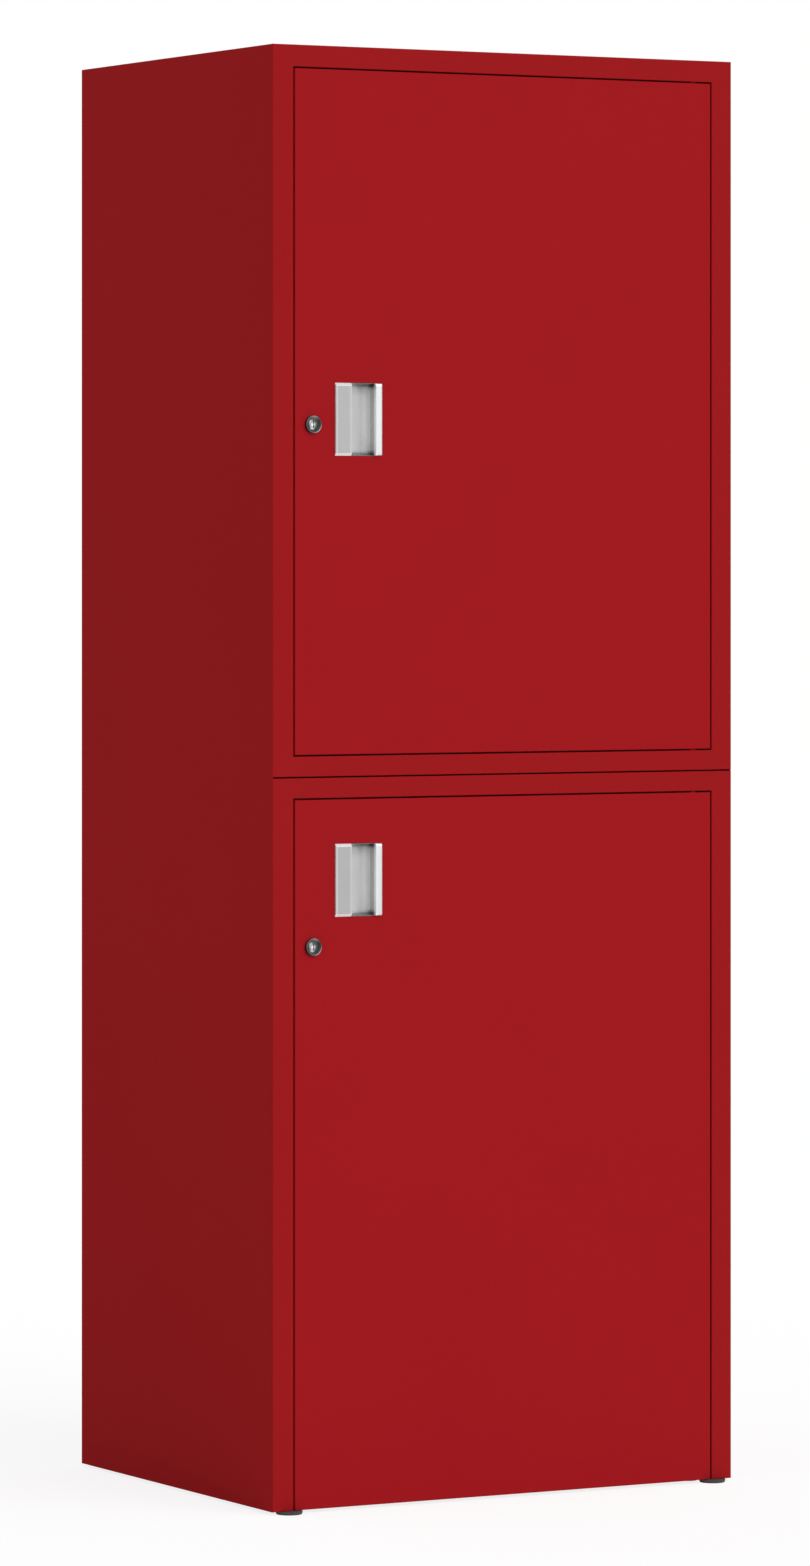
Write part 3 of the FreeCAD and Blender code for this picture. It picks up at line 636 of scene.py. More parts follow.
@dataclass
class Skin:
    """Mesh in the making: skins of rings, each closed at its ends or in a loop.

    Attributes:
        points: Arrays of points so far.
        faces: Faces so far, as lists of point numbers.
        tones: Arrays of the points' linear greys so far, with any painted light and shade.
        polish: Arrays of the points' polish so far, 0 for matt and 1 for bright metal.
    """

    points: list[np.ndarray] = field(default_factory=list)
    faces: list[list[int]] = field(default_factory=list)
    tones: list[np.ndarray] = field(default_factory=list)
    polish: list[np.ndarray] = field(default_factory=list)

    def wrap(self, rings: np.ndarray, loop: bool = False, tone: np.ndarray | float = 0.5,
             polish: np.ndarray | float = 1.0) -> None:
        """Join rings into one closed skin.

        Ring k and point n give the square (k, n), (k, n + 1), (k + 1, n + 1), (k + 1, n).

        Args:
            rings: Points as rings by points by 3.
            loop: True where the last ring joins the first, false where both get a cap.
            tone: Linear grey of the points, with any painted light and shade, or one for all.
            polish: Polish of the points, or one for all.
        """
        count, size = rings.shape[:2]
        start = sum(len(p) for p in self.points)
        steps = np.arange(count if loop else count - 1)
        ring, point = np.meshgrid(steps, np.arange(size), indexing="ij")
        near, far = ring * size, (ring + 1) % count * size
        after = (point + 1) % size
        corners = [near + point, near + after, far + after, far + point]
        self.faces += (start + np.stack(corners, axis=-1).reshape(-1, 4)).tolist()
        if not loop:
            self.faces.append(list(range(start + size - 1, start - 1, -1)))
            last = start + (count - 1) * size
            self.faces.append(list(range(last, last + size)))
        self.points.append(rings.reshape(-1, 3))
        self.tones.append(np.broadcast_to(tone, rings.shape[:2]).reshape(-1))
        self.polish.append(np.broadcast_to(polish, rings.shape[:2]).reshape(-1))

    def mesh(self, name: str) -> bpy.types.Mesh:
        """Make the mesh, with doubles merged and its faces pointing outwards.

        Args:
            name: Name of the mesh.

        Returns:
            The mesh.
        """
        made = bpy.data.meshes.new(name)
        made.from_pydata(np.concatenate(self.points).tolist(), [], self.faces)
        for attribute, values in ((TONE_WITH_PAINTED_LIGHT, self.tones), (POLISH, self.polish)):
            carried = made.attributes.new(attribute, "FLOAT", "POINT")
            carried.data.foreach_set("value", np.concatenate(values).astype(np.float32))
        made.validate()
        work = bmesh.new()
        work.from_mesh(made)
        bmesh.ops.remove_doubles(work, verts=work.verts, dist=MERGE_DISTANCE)
        bmesh.ops.dissolve_degenerate(work, dist=MERGE_DISTANCE / 2.0, edges=work.edges)
        bmesh.ops.recalc_face_normals(work, faces=work.faces)
        work.to_mesh(made)
        work.free()
        shade(made)
        return made


def shade(mesh: bpy.types.Mesh) -> None:
    """Shade a mesh smooth, apart from its sharp edges."""
    mesh.shade_smooth()
    mesh.set_sharp_from_angle(angle=SHARP_ANGLE)


def rise(value: np.ndarray, start: float, end: float) -> np.ndarray:
    """Smooth step from 0 at the start to 1 at the end, wherever that lies: t^2 (3 - 2 t)."""
    t = np.clip((value - start) / (end - start), 0.0, 1.0)
    return t * t * (3.0 - 2.0 * t)


def mixed(low: np.ndarray | float, high: np.ndarray | float, share: np.ndarray) -> np.ndarray:
    """Mix of two values, which is the low one where the share is 0."""
    return low + (high - low) * share


def add_piece(mesh: bpy.types.Mesh, body: str, slot: Slot, nodes: Sequence[str],
              finish: Finish | None = None) -> bpy.types.Object:
    """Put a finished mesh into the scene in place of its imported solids.

    Args:
        mesh: Mesh in the model's frame.
        body: Body that the piece moves with.
        slot: Material slot of the piece.
        nodes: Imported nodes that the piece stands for.
        finish: Finish that the piece shows, if not the slot's own.

    Returns:
        The new object.
    """
    made = bpy.data.objects.new(mesh.name, mesh)
    bpy.context.scene.collection.objects.link(made)
    mesh.materials.append((finish or slot.value).material())
    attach(made, body)
    slot.name.lower()
    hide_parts(*nodes)
    LOG.info("%s: %d faces on %s", made.name, len(mesh.polygons), body)
    return made


# ---------------------------------------------------------------------------------------
# Recessed pulls
# ---------------------------------------------------------------------------------------

@dataclass(frozen=True)
class Band:
    """Smooth step of a tone across a band of the surface.

    Attributes:
        change: How much lighter the tone gets across the band.
        start: Where the band starts, from the line that it is measured from.
        end: Where it ends, which may lie before the start.
    """

    change: float
    start: float
    end: float

    def at(self, value: np.ndarray, line: float = 0.0) -> np.ndarray:
        """Change at each value: the change times its rise from line + start to line + end."""
        return self.change * rise(value, line + self.start, line + self.end)


@dataclass(frozen=True)
class HalfPaintedLight:
    """Painted light and shade that differ between the upper and the lower half of a pull.

    Attributes:
        bevel: Painted highlight on the plate's end bevel.
        near_end: Painted change of the cup's floor near its end wall, shade in the upper half and light
            in the lower.
        shut: Painted shade on the cup's end wall.
        corner: Painted deeper shade on the end wall in its corner under the lip.
    """

    bevel: float
    near_end: float
    shut: float
    corner: float


@dataclass(frozen=True)
class PullGreysAndPaintedLight:
    """Linear greys of a pull's casting, from its left edge to its lip, with painted light and shade.

    Attributes:
        plate: Plate.
        plate_edge: Light along the plate's left edge, measured from that edge.
        plate_fold: Light along the fold, measured from the fold.
        fold_margin: Distance past the fold to which the plate's tones reach.
        bevel_blend: Half the band over which the bevel's tone starts.
        lip: Lip at its left.
        lip_side: Painted shade towards the lip's right, measured from the cup's mouth.
        lip_end: Light on the lip's ends.
        floor: Cup's floor, painted lighter to offset the cup's shade.
        floor_light: Light on the floor in front of the wall under the lip.
        light_run: Distance from the fold at which that light starts.
        light_gap: Distance before the wall at which it is complete.
        end_band: Distances from the end at which the floor starts to change and has changed.
        root: Floor right at the wall under the lip, with painted shade.
        root_band: Where the root's tone starts and is complete, measured from that wall.
        corner_band: Where the corner's tone starts and is complete, measured from that wall.
        fall_start: Distance from the rim, in end runs, at which the end wall's tone starts.
        fall_corner: What is added to that in the corner.
        fall_end: Distance from the rim, in end runs, at which it is complete.
        upper: Painted light and shade of the upper half.
        lower: Painted light and shade of the lower half.
    """

    plate: float = 0.40
    plate_edge: Band = Band(0.36, 2.4 * MM, 0.4 * MM)
    plate_fold: Band = Band(0.12, -3.0 * MM, -0.6 * MM)
    fold_margin: float = 0.3 * MM
    bevel_blend: float = 0.25 * MM
    lip: float = 0.88
    lip_side: Band = Band(-0.28, 0.5 * MM, 3.5 * MM)
    lip_end: float = 0.20
    floor: float = 0.57
    floor_light: float = 0.29
    light_run: float = 12.0 * MM
    light_gap: float = 2.0 * MM
    end_band: tuple[float, float] = (16.0 * MM, 5.0 * MM)
    root: float = 0.52
    root_band: Band = Band(1.0, -1.0 * MM, -0.2 * MM)
    corner_band: Band = Band(1.0, -4.0 * MM, -1.2 * MM)
    fall_start: float = 1.2
    fall_corner: float = 0.3
    fall_end: float = 0.6
    upper: HalfPaintedLight = HalfPaintedLight(0.80, -0.12, 0.18, 0.02)
    lower: HalfPaintedLight = HalfPaintedLight(1.0, 0.02, 0.20, 0.06)


@dataclass
class DoorPull:
    """Cast recessed pull with a bevelled plate, a ramped cup and a raised round lip.

    Its cross-section is a loop of (x, depth) points that changes towards the ends: the plate's
    bevel and the lip's round lower their fronts, and the cup shuts in a curved end wall.

    Attributes:
        door: Name part of the door, upper or lower.
        plate_width: Width of the flat plate.
        plate_proud: How far the plate stands in front of the door.
        bevel: Size of the plate's end bevels.
        lip_width: Width of the lip.
        lip_proud: How far the lip stands in front of the door.
        lip_round: Size of the lip's rounds.
        lip_root: Depth of the lip's underside behind the door face.
        undercut: How far the cup reaches under the lip.
        ramp_run: Width of the ramp.
        cup_depth: Depth of the cup's floor behind the door face.
        wall: Thickness of the casting.
        rim: Width of the edge outside the cup's end walls.
        end_run: Height over which an end wall falls to the floor.
        setbacks: How far before each inner corner of the front its bend starts.
        longest_run: Longest run between two points of the front.
        ring_counts: Rings along the inside, the end wall and the rim of a half.
        polish: Share that reflects as metal on the lip, the plate and the cup.
        tones: Linear greys of the casting, with painted light and shade.
    """

    door: str
    plate_width: float = 18.5 * MM
    plate_proud: float = 3.0 * MM
    bevel: float = 2.6 * MM
    lip_width: float = 8.4 * MM
    lip_proud: float = 4.5 * MM
    lip_round: float = 3.0 * MM
    lip_root: float = 0.8 * MM
    undercut: float = 2.0 * MM
    ramp_run: float = 20.0 * MM
    cup_depth: float = 12.0 * MM
    wall: float = 1.5 * MM
    rim: float = 0.35 * MM
    end_run: float = 3.6 * MM
    setbacks: tuple[float, ...] = tuple(s * MM for s in (2.0, 1.2, 3.0, 1.6, 0.4, 0.3, 3.0, 3.0))
    longest_run: float = 0.9 * MM
    ring_counts: tuple[int, int, int] = (14, 12, 4)
    polish: tuple[float, float, float] = (0.9, 0.35, 0.05)
    tones: PullGreysAndPaintedLight = PullGreysAndPaintedLight()

    def __post_init__(self) -> None:
        """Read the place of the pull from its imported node."""
        self.node = f"{self.door}_door_pull"
        low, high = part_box(self.node)
        self.left, self.width = low.x, high.x - low.x
        self.face_y = low.y + self.lip_proud
        self.middle_z, self.half_height = (low.z + high.z) / 2.0, (high.z - low.z) / 2.0
        self.mouth_right = self.width - self.lip_width

    def front_path(self) -> np.ndarray:
        """Front of the section from the plate's left edge to the lip's right edge.

        Returns:
            Points as (x from the left edge, depth behind the door face).
        """
        cup_right = self.mouth_right + self.undercut
        floor_left = self.plate_width + self.ramp_run
        corners = np.array([
            (0.0, 0.0), (0.0, -self.plate_proud), (self.plate_width, -self.plate_proud),
            (floor_left, self.cup_depth), (cup_right, self.cup_depth), (cup_right, self.lip_root),
            (self.mouth_right, self.lip_root), (self.mouth_right, -self.lip_proud),
            (self.width, -self.lip_proud), (self.width, 0.0),
        ])
        return refined(softened(corners, self.setbacks, steps=7), self.longest_run)

    def back_path(self) -> np.ndarray:
        """Back of the section from the lip's right edge to the plate's left edge.

        Returns:
            Points as (x from the left edge, depth behind the door face).
        """
        drop = self.cup_depth + self.plate_proud
        slant = math.hypot(self.ramp_run, drop)
        slope = self.ramp_run / drop
        shell_right = self.mouth_right + self.undercut + self.wall
        shell_depth = self.cup_depth + self.wall
        back_x = self.plate_width - self.wall * slant / drop
        foot_x = back_x + slope * (shell_depth + self.plate_proud)
        heel_x = back_x + slope * self.plate_proud
        return np.array([
            (shell_right, 0.0), (shell_right, shell_depth), (foot_x, shell_depth), (heel_x, 0.0),
        ])

    def edges(self) -> np.ndarray:
        """Distances of the upper half's rings from the end, from the middle outwards.

        Returns:
            The distances, close together where the end wall and the rounds turn.
        """
        inside_count, wall_count, rim_count = self.ring_counts
        turn = 1.0 - np.cos(np.linspace(0.0, math.pi / 2.0, wall_count))
        wall = self.rim + self.end_run * turn
        inside = np.linspace(self.half_height, wall[-1], inside_count)[:-1]
        outside = np.linspace(0.0, self.rim, rim_count)[:-1]
        return np.concatenate([inside, wall[::-1], outside[::-1]])

    def half_tones(self, x: np.ndarray, in_lip: np.ndarray, edge: np.ndarray,
                   half: HalfPaintedLight) -> np.ndarray:
        """Linear greys of one half, with painted highlights on bevels and lip and painted shade at the
        cup's shut end.

        Args:
            x: Each point's distance from the left edge, as rings by points.
            in_lip: Whether each point is on the lip.
            edge: Each ring's distance from the end.
            half: Painted light and shade of the half.

        Returns:
            A tone for each point.
        """
        tones, fold, mouth = self.tones, self.plate_width, self.mouth_right
        wall = mouth + self.undercut
        # Painted highlights on bevels, plate edge, fold and lip ends; painted light and shade in the cup
        bevel = rise(edge, self.bevel + tones.bevel_blend, self.bevel - tones.bevel_blend)
        plate = tones.plate + tones.plate_edge.at(x) + tones.plate_fold.at(x, fold)
        plate = mixed(plate, half.bevel, bevel)
        lip = tones.lip + tones.lip_side.at(x, mouth) + tones.lip_end * bevel
        near_wall = rise(x, fold + tones.light_run, wall - tones.light_gap)
        floor = tones.floor + tones.floor_light * near_wall + half.near_end * rise(edge, *tones.end_band)
        floor = mixed(floor, tones.root, tones.root_band.at(x, wall))
        corner = tones.corner_band.at(x, wall)
        start = self.rim + (tones.fall_start + tones.fall_corner * corner) * self.end_run
        fall = rise(edge, start, self.rim + tones.fall_end * self.end_run)
        cup = mixed(floor, mixed(half.shut, half.corner, corner), fall)
        return np.where(in_lip, lip, np.where(x < fold + tones.fold_margin, plate, cup))

    def rings(self) -> tuple[np.ndarray, np.ndarray, np.ndarray]:
        """Rings of the whole casting.

        At the distance e from the end, with the rim r and the end wall's run w, the cup is
        open by sqrt(1 - (1 - (e - r) / w)^2). A point lies by that share between the shut
        section, where the ramp runs on to the door face, and the open one. The plate's front
        is scaled by (proud - bevel + e) / proud and the lip's by (proud - round + sqrt(round^2
        - (round - e)^2)) / proud.

        Returns:
            Points as rings by points by 3, their tones with painted light and shade, and their polish:
            the lip is bright, the plate satin and the cup matt.
        """
        front = self.front_path()
        fold = np.argmin(np.linalg.norm(front - (self.plate_width, -self.plate_proud), axis=1))
        lip = np.argmin(np.linalg.norm(front - (self.mouth_right, self.lip_root), axis=1))
        number = np.arange(len(front))
        in_cup = (number > fold) & (number <= lip)
        in_lip = number > lip

        edge = self.edges()[:, None]
        away = 1.0 - np.clip((edge - self.rim) / self.end_run, 0.0, 1.0)
        share = np.sqrt(1.0 - away**2)
        x, depth = front[None, :, 0], front[None, :, 1]
        slope = (self.cup_depth + self.plate_proud) / self.ramp_run
        level = np.minimum(0.0, -self.plate_proud + slope * (x - self.plate_width))
        shut_depth = np.where(in_cup, level, np.where(in_lip, np.minimum(depth, 0.0), depth))
        shut_x = np.where(in_cup | (in_lip & (depth > 0.0)), np.minimum(x, self.mouth_right), x)
        x = shut_x + share * (x - shut_x)
        depth = shut_depth + share * (depth - shut_depth)

        plate_share = np.minimum(1.0, (self.plate_proud - self.bevel + edge) / self.plate_proud)
        short = self.lip_round - np.minimum(edge, self.lip_round)
        lip_front = self.lip_proud - self.lip_round + np.sqrt(self.lip_round**2 - short**2)
        scale = np.where(in_lip, lip_front / self.lip_proud, plate_share)
        depth = np.where(depth < 0.0, depth * scale, depth)

        back = self.back_path()
        backs = np.broadcast_to(back, (len(edge), *back.shape))
        section = np.concatenate([np.stack([x, depth], axis=-1), backs], axis=1)
        across, behind = section[:, :, 0], section[:, :, 1]
        height = np.broadcast_to(self.half_height - edge, across.shape)
        upper = np.stack([self.left + across, self.face_y + behind, height], axis=-1)
        lower = upper[::-1] * (1.0, 1.0, -1.0)
        on_lip = np.concatenate([in_lip, np.zeros(len(back), bool)])
        # The upper and the lower half get differently painted light and shade
        halves = (self.tones.upper, self.tones.lower)
        top, bottom = (self.half_tones(across, on_lip, edge, half) for half in halves)
        whole = np.concatenate([lower, upper[1:]], axis=0)
        tone = np.concatenate([bottom[::-1], top[1:]], axis=0)
        bright, satin, matt = self.polish
        on_plate = np.arange(len(on_lip)) <= fold
        polish = np.where(on_lip, bright, np.where(on_plate, satin, matt))
        return whole + (0.0, 0.0, self.middle_z), tone, np.broadcast_to(polish, tone.shape)

    def build(self) -> None:
        """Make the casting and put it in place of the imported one."""
        skin = Skin()
        rings, tone, polish = self.rings()
        skin.wrap(rings, tone=tone, polish=polish)
        # The casting's base colour is the mesh's tones, with their painted light and shade
        finish = SatinCasting("silver_casting_with_painted_light", None, metallic=None)
        mesh = skin.mesh(f"{self.door}_pull_casting")
        add_piece(mesh, f"{self.door}_door", Slot.SATIN_METAL, [self.node], finish)


# ---------------------------------------------------------------------------------------
# Cam locks
# ---------------------------------------------------------------------------------------

@dataclass(frozen=True)
class Lobe:
    """Broad painted reflection on a round part: a level times max(0, cos(angle - direction))^power.

    Attributes:
        direction: Angle of its middle in degrees, from the hinge side and turning upwards.
        power: How narrow it is.
        in_dish: Level in the dish.
        on_ring: Level on the ring.
    """

    direction: float
    power: int
    in_dish: float
    on_ring: float

    def at(self, angle: np.ndarray, ring: np.ndarray) -> np.ndarray:
        """Tone at each angle, with the ring's share between the two levels."""
        beam = np.maximum(0.0, np.cos(angle - math.radians(self.direction))) ** self.power
        return mixed(self.in_dish, self.on_ring, ring) * beam


@dataclass(frozen=True)
class Glint:
    """Soft painted highlight on a flat face: level exp(-((x - x0) / w)^2 - ((z - z0) / h)^2).

    Attributes:
        level: Tone at its middle.
        middle: Its middle (x0, z0), from the axis.
        spread: Its spreads w and h.
    """

    level: float
    middle: tuple[float, float]
    spread: tuple[float, float]

    def at(self, across: np.ndarray) -> np.ndarray:
        """Tone at each point (x, z) from the axis."""
        away = (across - self.middle) / self.spread
        return self.level * np.exp(-(away**2).sum(axis=-1))


def rounded_box(circle: np.ndarray, roundness: float) -> np.ndarray:
    """Rounded box (|cos t|^p, |sin t|^p) with the signs of the cosine and the sine."""
    return np.sign(circle) * np.abs(circle) ** roundness


@dataclass
class CamLock:
    """Round cam lock: threaded housing with a rounded ring, and the turning plug in it.

    Attributes:
        door: Name part of the door, upper or lower.
        ring_radius: Radius of the ring on the door face.
        ring_proud: How far the ring stands in front of the door.
        dish_radius: Radius at which the ring starts to dish inwards.
        dish_depth: Depth of the dish at the bore.
        bore_radius: Radius of the bore.
        barrel_radius: Radius over the barrel's thread.
        thread_pitch: Pitch of the barrel's thread.
        thread_depth: Depth of the thread.
        thread_start: Distance of the thread behind the door face.
        thread_tail: Plain length behind the thread.
        thread_fade: Length over which the thread deepens at both ends.
        housing_setbacks: How far before each inner corner of the housing its bend starts.
        housing_run: Longest run between two points of the housing's half section.
        plug_radius: Radius of the plug.
        plug_ease: Width of the plug's eased edges.
        plug_segments: Points on each ring of the plug.
        rim_round: Middle of the round on the plug's rim, in eases from both its sides.
        face_ring: Place of the face's middle ring, 0 for the slot and 1 for the rim.
        tenon: Side of the square that carries the cam.
        tenon_corner: Roundness of its corners, 0 for sharp ones and 1 for a circle.
        tenon_ease: Length of the square's eased end.
        tenon_end: Size of the square at its end, as a share of the full one.
        screw_radius: Radius of the bore for the cam's screw.
        screw_depth: Depth of that bore.
        slot_width: Width of the key slot.
        slot_height: Height of the key slot.
        slot_corner: Roundness of its corners.
        slot_depth: Depth of the key slot.
        slot_floor: Sizes of two rings on the slot's floor, as shares of its mouth.
        mouth_round: Middle of the round at the mouth, in eases outwards and inwards.
        ring_blend: Half the band over which the dish's tones turn into the ring's.
        dark: Tone of the housing outside its painted reflections.
        plug_dark: Tone of the plug outside its painted highlights.
        lobes: Painted reflections on the housing.
        glints: Painted highlights on the plug, left of its middle.
    """

    door: str
    ring_radius: float = 9.2 * MM
    ring_proud: float = 3.0 * MM
    dish_radius: float = 8.3 * MM
    dish_depth: float = 1.9 * MM
    bore_radius: float = 6.1 * MM
    barrel_radius: float = 8.0 * MM
    thread_pitch: float = 1.0 * MM
    thread_depth: float = 0.45 * MM
    thread_start: float = 1.4 * MM
    thread_tail: float = 0.8 * MM
    thread_fade: float = 0.5 * MM
    housing_setbacks: tuple[float, ...] = tuple(s * MM for s in (0.15, 0.35, 0.6, 0.1, 0.05, 0.5))
    housing_run: float = 0.125 * MM
    plug_radius: float = 6.0 * MM
    plug_ease: float = 0.25 * MM
    plug_segments: int = 64
    rim_round: float = 0.3
    face_ring: float = 0.6
    tenon: float = 7.0 * MM
    tenon_corner: float = 0.12
    tenon_ease: float = 0.2 * MM
    tenon_end: float = 0.96
    screw_radius: float = 2.0 * MM
    screw_depth: float = 6.0 * MM
    slot_width: float = 0.8 * MM
    slot_height: float = 7.0 * MM
    slot_corner: float = 0.22
    slot_depth: float = 5.0 * MM
    slot_floor: tuple[float, float] = (0.9, 0.95)
    mouth_round: tuple[float, float] = (0.5, 0.2)
    ring_blend: float = 0.4 * MM
    dark: float = 0.04
    plug_dark: float = 0.05
    lobes: tuple[Lobe, ...] = (
        Lobe(-38.0, 4, 0.03, 0.35), Lobe(140.0, 2, 0.20, 0.05),
        Lobe(78.0, 8, 0.13, 0.13), Lobe(218.0, 2, 0.12, 0.0),
    )
    glints: tuple[Glint, ...] = (
        Glint(1.05, (-1.1 * MM, 0.0), (2.0 * MM, 2.5 * MM)),
        Glint(0.42, (-1.9 * MM, -4.0 * MM), (1.9 * MM, 1.8 * MM)),
        Glint(0.25, (-3.4 * MM, 3.0 * MM), (2.0 * MM, 2.4 * MM)),
    )

    def __post_init__(self) -> None:
        """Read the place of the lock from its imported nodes."""
        low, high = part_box(f"{self.door}_lock_body")
        self.face_y = low.y + self.ring_proud
        self.barrel_end = high.y - self.face_y
        middle = (low + high) / 2.0
        self.centre = (middle.x, self.face_y, middle.z)
        plug_low, plug_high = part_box(f"{self.door}_lock_plug")
        self.plug_front = plug_low.y - self.face_y
        self.plug_back = plug_high.y - self.face_y
        cam_low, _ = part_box(f"{self.door}_lock_cam")
        self.cam_front = cam_low.y - self.face_y
        self.finish = TurnedChrome(f"{self.door}_lock_chrome", self.centre, None)

    def housing_profile(self) -> tuple[np.ndarray, np.ndarray]:
        """Half section of the housing, as a loop without the thread.

        Returns:
            Radii and places along the axis.
        """
        front = -self.ring_proud
        end = self.barrel_end
        corners = np.array([
            (self.bore_radius, end), (self.bore_radius, front + self.dish_depth),
            (self.dish_radius, front), (self.ring_radius, front), (self.ring_radius, 0.0),
            (self.barrel_radius, 0.0), (self.barrel_radius, end), (self.bore_radius, end),
        ])
        path = refined(softened(corners, self.housing_setbacks), self.housing_run)
        return path[:-1, 0], path[:-1, 1]

    def build_housing(self) -> None:
        """Turn the housing and cut its thread.

        On the barrel the radius is R - depth (1 - |2 f - 1|), where f is the fraction of
        along / pitch - angle / (2 pi), faded out at both ends.
        """
        radius, along = self.housing_profile()
        turn = np.arange(FINE_SEGMENTS) / FINE_SEGMENTS
        phase = (along[:, None] / self.thread_pitch - turn[None, :]) % 1.0
        cut = self.thread_depth * (1.0 - np.abs(2.0 * phase - 1.0))
        room = np.minimum(along - self.thread_start, self.barrel_end - self.thread_tail - along)
        fade = np.clip(room / self.thread_fade, 0.0, 1.0)
        on_thread = np.isclose(radius, self.barrel_radius) * fade
        threaded = radius[:, None] - cut * on_thread[:, None]
        ring_start, ring_end = self.dish_radius - self.ring_blend, self.dish_radius + self.ring_blend
        ring = rise(radius, ring_start, ring_end)[:, None]
        # Painted reflections: the lobes' light and shade around the ring and in the dish
        tone = self.dark + sum(lobe.at(math.tau * turn[None, :], ring) for lobe in self.lobes)
        skin = Skin()
        skin.wrap(turned(threaded, along, self.centre, Axis.DEPTH, FINE_SEGMENTS), True, tone)
        mesh = skin.mesh(f"{self.door}_lock_housing")
        add_piece(mesh, f"{self.door}_door", Slot.LOCK_CHROME, [f"{self.door}_lock_body"], self.finish)

    def build_plug(self) -> None:
        """Build the plug from its key slot outwards, and back to its square and screw bore.

        The face runs straight from the slot's outline, a rounded box, to the plug's edge.
        """
        angle = np.linspace(0.0, math.tau, self.plug_segments, endpoint=False)
        circle = np.stack([np.cos(angle), np.sin(angle)], axis=1)
        box = rounded_box(circle, self.slot_corner)
        slot = box * (self.slot_width / 2.0, self.slot_height / 2.0)
        square = rounded_box(circle, self.tenon_corner) * self.tenon / 2.0
        rim, bore = circle * self.plug_radius, circle * self.screw_radius
        front, shoulder, back = self.plug_front, self.cam_front, self.plug_back
        floor, ease = front + self.slot_depth, self.plug_ease
        eased_rim, off_rim = circle * (self.plug_radius - ease), self.rim_round * ease
        out, down = self.mouth_round
        stations = [
            *((slot * size, floor) for size in self.slot_floor),
            (slot, front + ease), (slot + box * ease * out, front + down * ease),
            (slot + box * ease, front), (slot * (1.0 - self.face_ring) + rim * self.face_ring, front),
            (eased_rim, front), (circle * (self.plug_radius - off_rim), front + off_rim),
            (rim, front + ease), (rim, shoulder - ease), (eased_rim, shoulder),
            (square, shoulder), (square, back - self.tenon_ease), (square * self.tenon_end, back),
            (bore, back), (bore, back - self.screw_depth),
        ]
        across = np.array([s for s, _ in stations])
        along = np.broadcast_to(np.array([a for _, a in stations])[:, None], across.shape[:2])
        rings = np.stack([across[:, :, 0], along, across[:, :, 1]], axis=-1) + self.centre
        skin = Skin()
        # The glints are painted highlights on the plug's face
        skin.wrap(rings, tone=self.plug_dark + sum(glint.at(across) for glint in self.glints))
        mesh = skin.mesh(f"{self.door}_lock_cylinder_plug")
        body = f"{self.door}_lock_cylinder"
        add_piece(mesh, body, Slot.LOCK_CHROME, [f"{self.door}_lock_plug"], self.finish)

    def build(self) -> None:
        """Make the housing and the plug."""
        self.build_housing()
        self.build_plug()


# ---------------------------------------------------------------------------------------
# Sheet parts and small fittings with eased edges
# ---------------------------------------------------------------------------------------

def body_of(node: str) -> str:
    """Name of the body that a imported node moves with."""
    bodies = frame["record"]["behaviour"]["bodies"]
    return next(body for body, nodes in bodies.items() if node in nodes)


@dataclass
class EasedPart:
    """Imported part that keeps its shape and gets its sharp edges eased.

    Attributes:
        node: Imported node.
        slot: Material slot.
        width: Width of the eased edges.
        finish: Finish, if not the slot's own.
    """

    node: str
    slot: Slot
    width: float
    finish: Finish | None = None

    def build(self) -> None:
        """Copy the node, join its flat triangles into plain faces, and ease its edges."""
        mesh = frame["nodes"][self.node].data.copy()
        mesh.name = f"{self.node}_eased"
        mesh.materials.clear()
        work = bmesh.new()
        work.from_mesh(mesh)
        bmesh.ops.remove_doubles(work, verts=work.verts, dist=MERGE_DISTANCE)
        flat = math.radians(0.5)
        bmesh.ops.dissolve_limit(work, angle_limit=flat, verts=work.verts, edges=work.edges)
        work.to_mesh(mesh)
        work.free()
        shade(mesh)
        piece = add_piece(mesh, body_of(self.node), self.slot, [self.node], self.finish)
        ease = piece.modifiers.new("ease", "BEVEL")
        ease.width = self.width
        ease.segments = 2
        ease.limit_method = "ANGLE"
        ease.angle_limit = SHARP_ANGLE
        ease.harden_normals = True


def eased_parts() -> list[EasedPart]:
    """Parts whose edges show when the doors are open, or close to the eye.

    Returns:
        The parts.
    """
    parts = [
        EasedPart("shelf_clips", Slot.ZINC_PLATE, 0.35 * MM),
        EasedPart("magnetic_catches", Slot.CATCH_PLASTIC, 0.7 * MM),
        EasedPart("catch_magnets", Slot.MAGNET, 0.3 * MM),
    ]
    for unit in UNITS:
        parts += [
            EasedPart(f"{unit}_lock_cam", Slot.ZINC_PLATE, 0.4 * MM),
            EasedPart(f"{unit}_lock_nut", Slot.ZINC_PLATE, 0.5 * MM),
            EasedPart(f"{unit}_door_skin", Slot.RED_PAINT, 0.35 * MM, DOOR_ENAMEL),
            EasedPart(f"{unit}_door_liner", Slot.RED_PAINT, 0.3 * MM, DOOR_ENAMEL),
            EasedPart(f"{unit}_door_bushes", Slot.NYLON, 0.2 * MM),
        ]
        for number in (1, 2):
            parts.append(EasedPart(f"{unit}_shelf_{number}", Slot.RED_PAINT, 0.35 * MM))
        for side in SIDES:
            parts.append(EasedPart(f"{unit}_{side}_shelf_strips", Slot.ZINC_PLATE, 0.25 * MM))
    return parts


@dataclass(frozen=True)
class ScrewSize:
    """Sizes that the screws of one kind share.

    Attributes:
        head_radius: Radius of the head.
        head_height: Height of the head.
        shank_radius: Radius of the shank.
    """

    head_radius: float
    head_height: float
    shank_radius: float


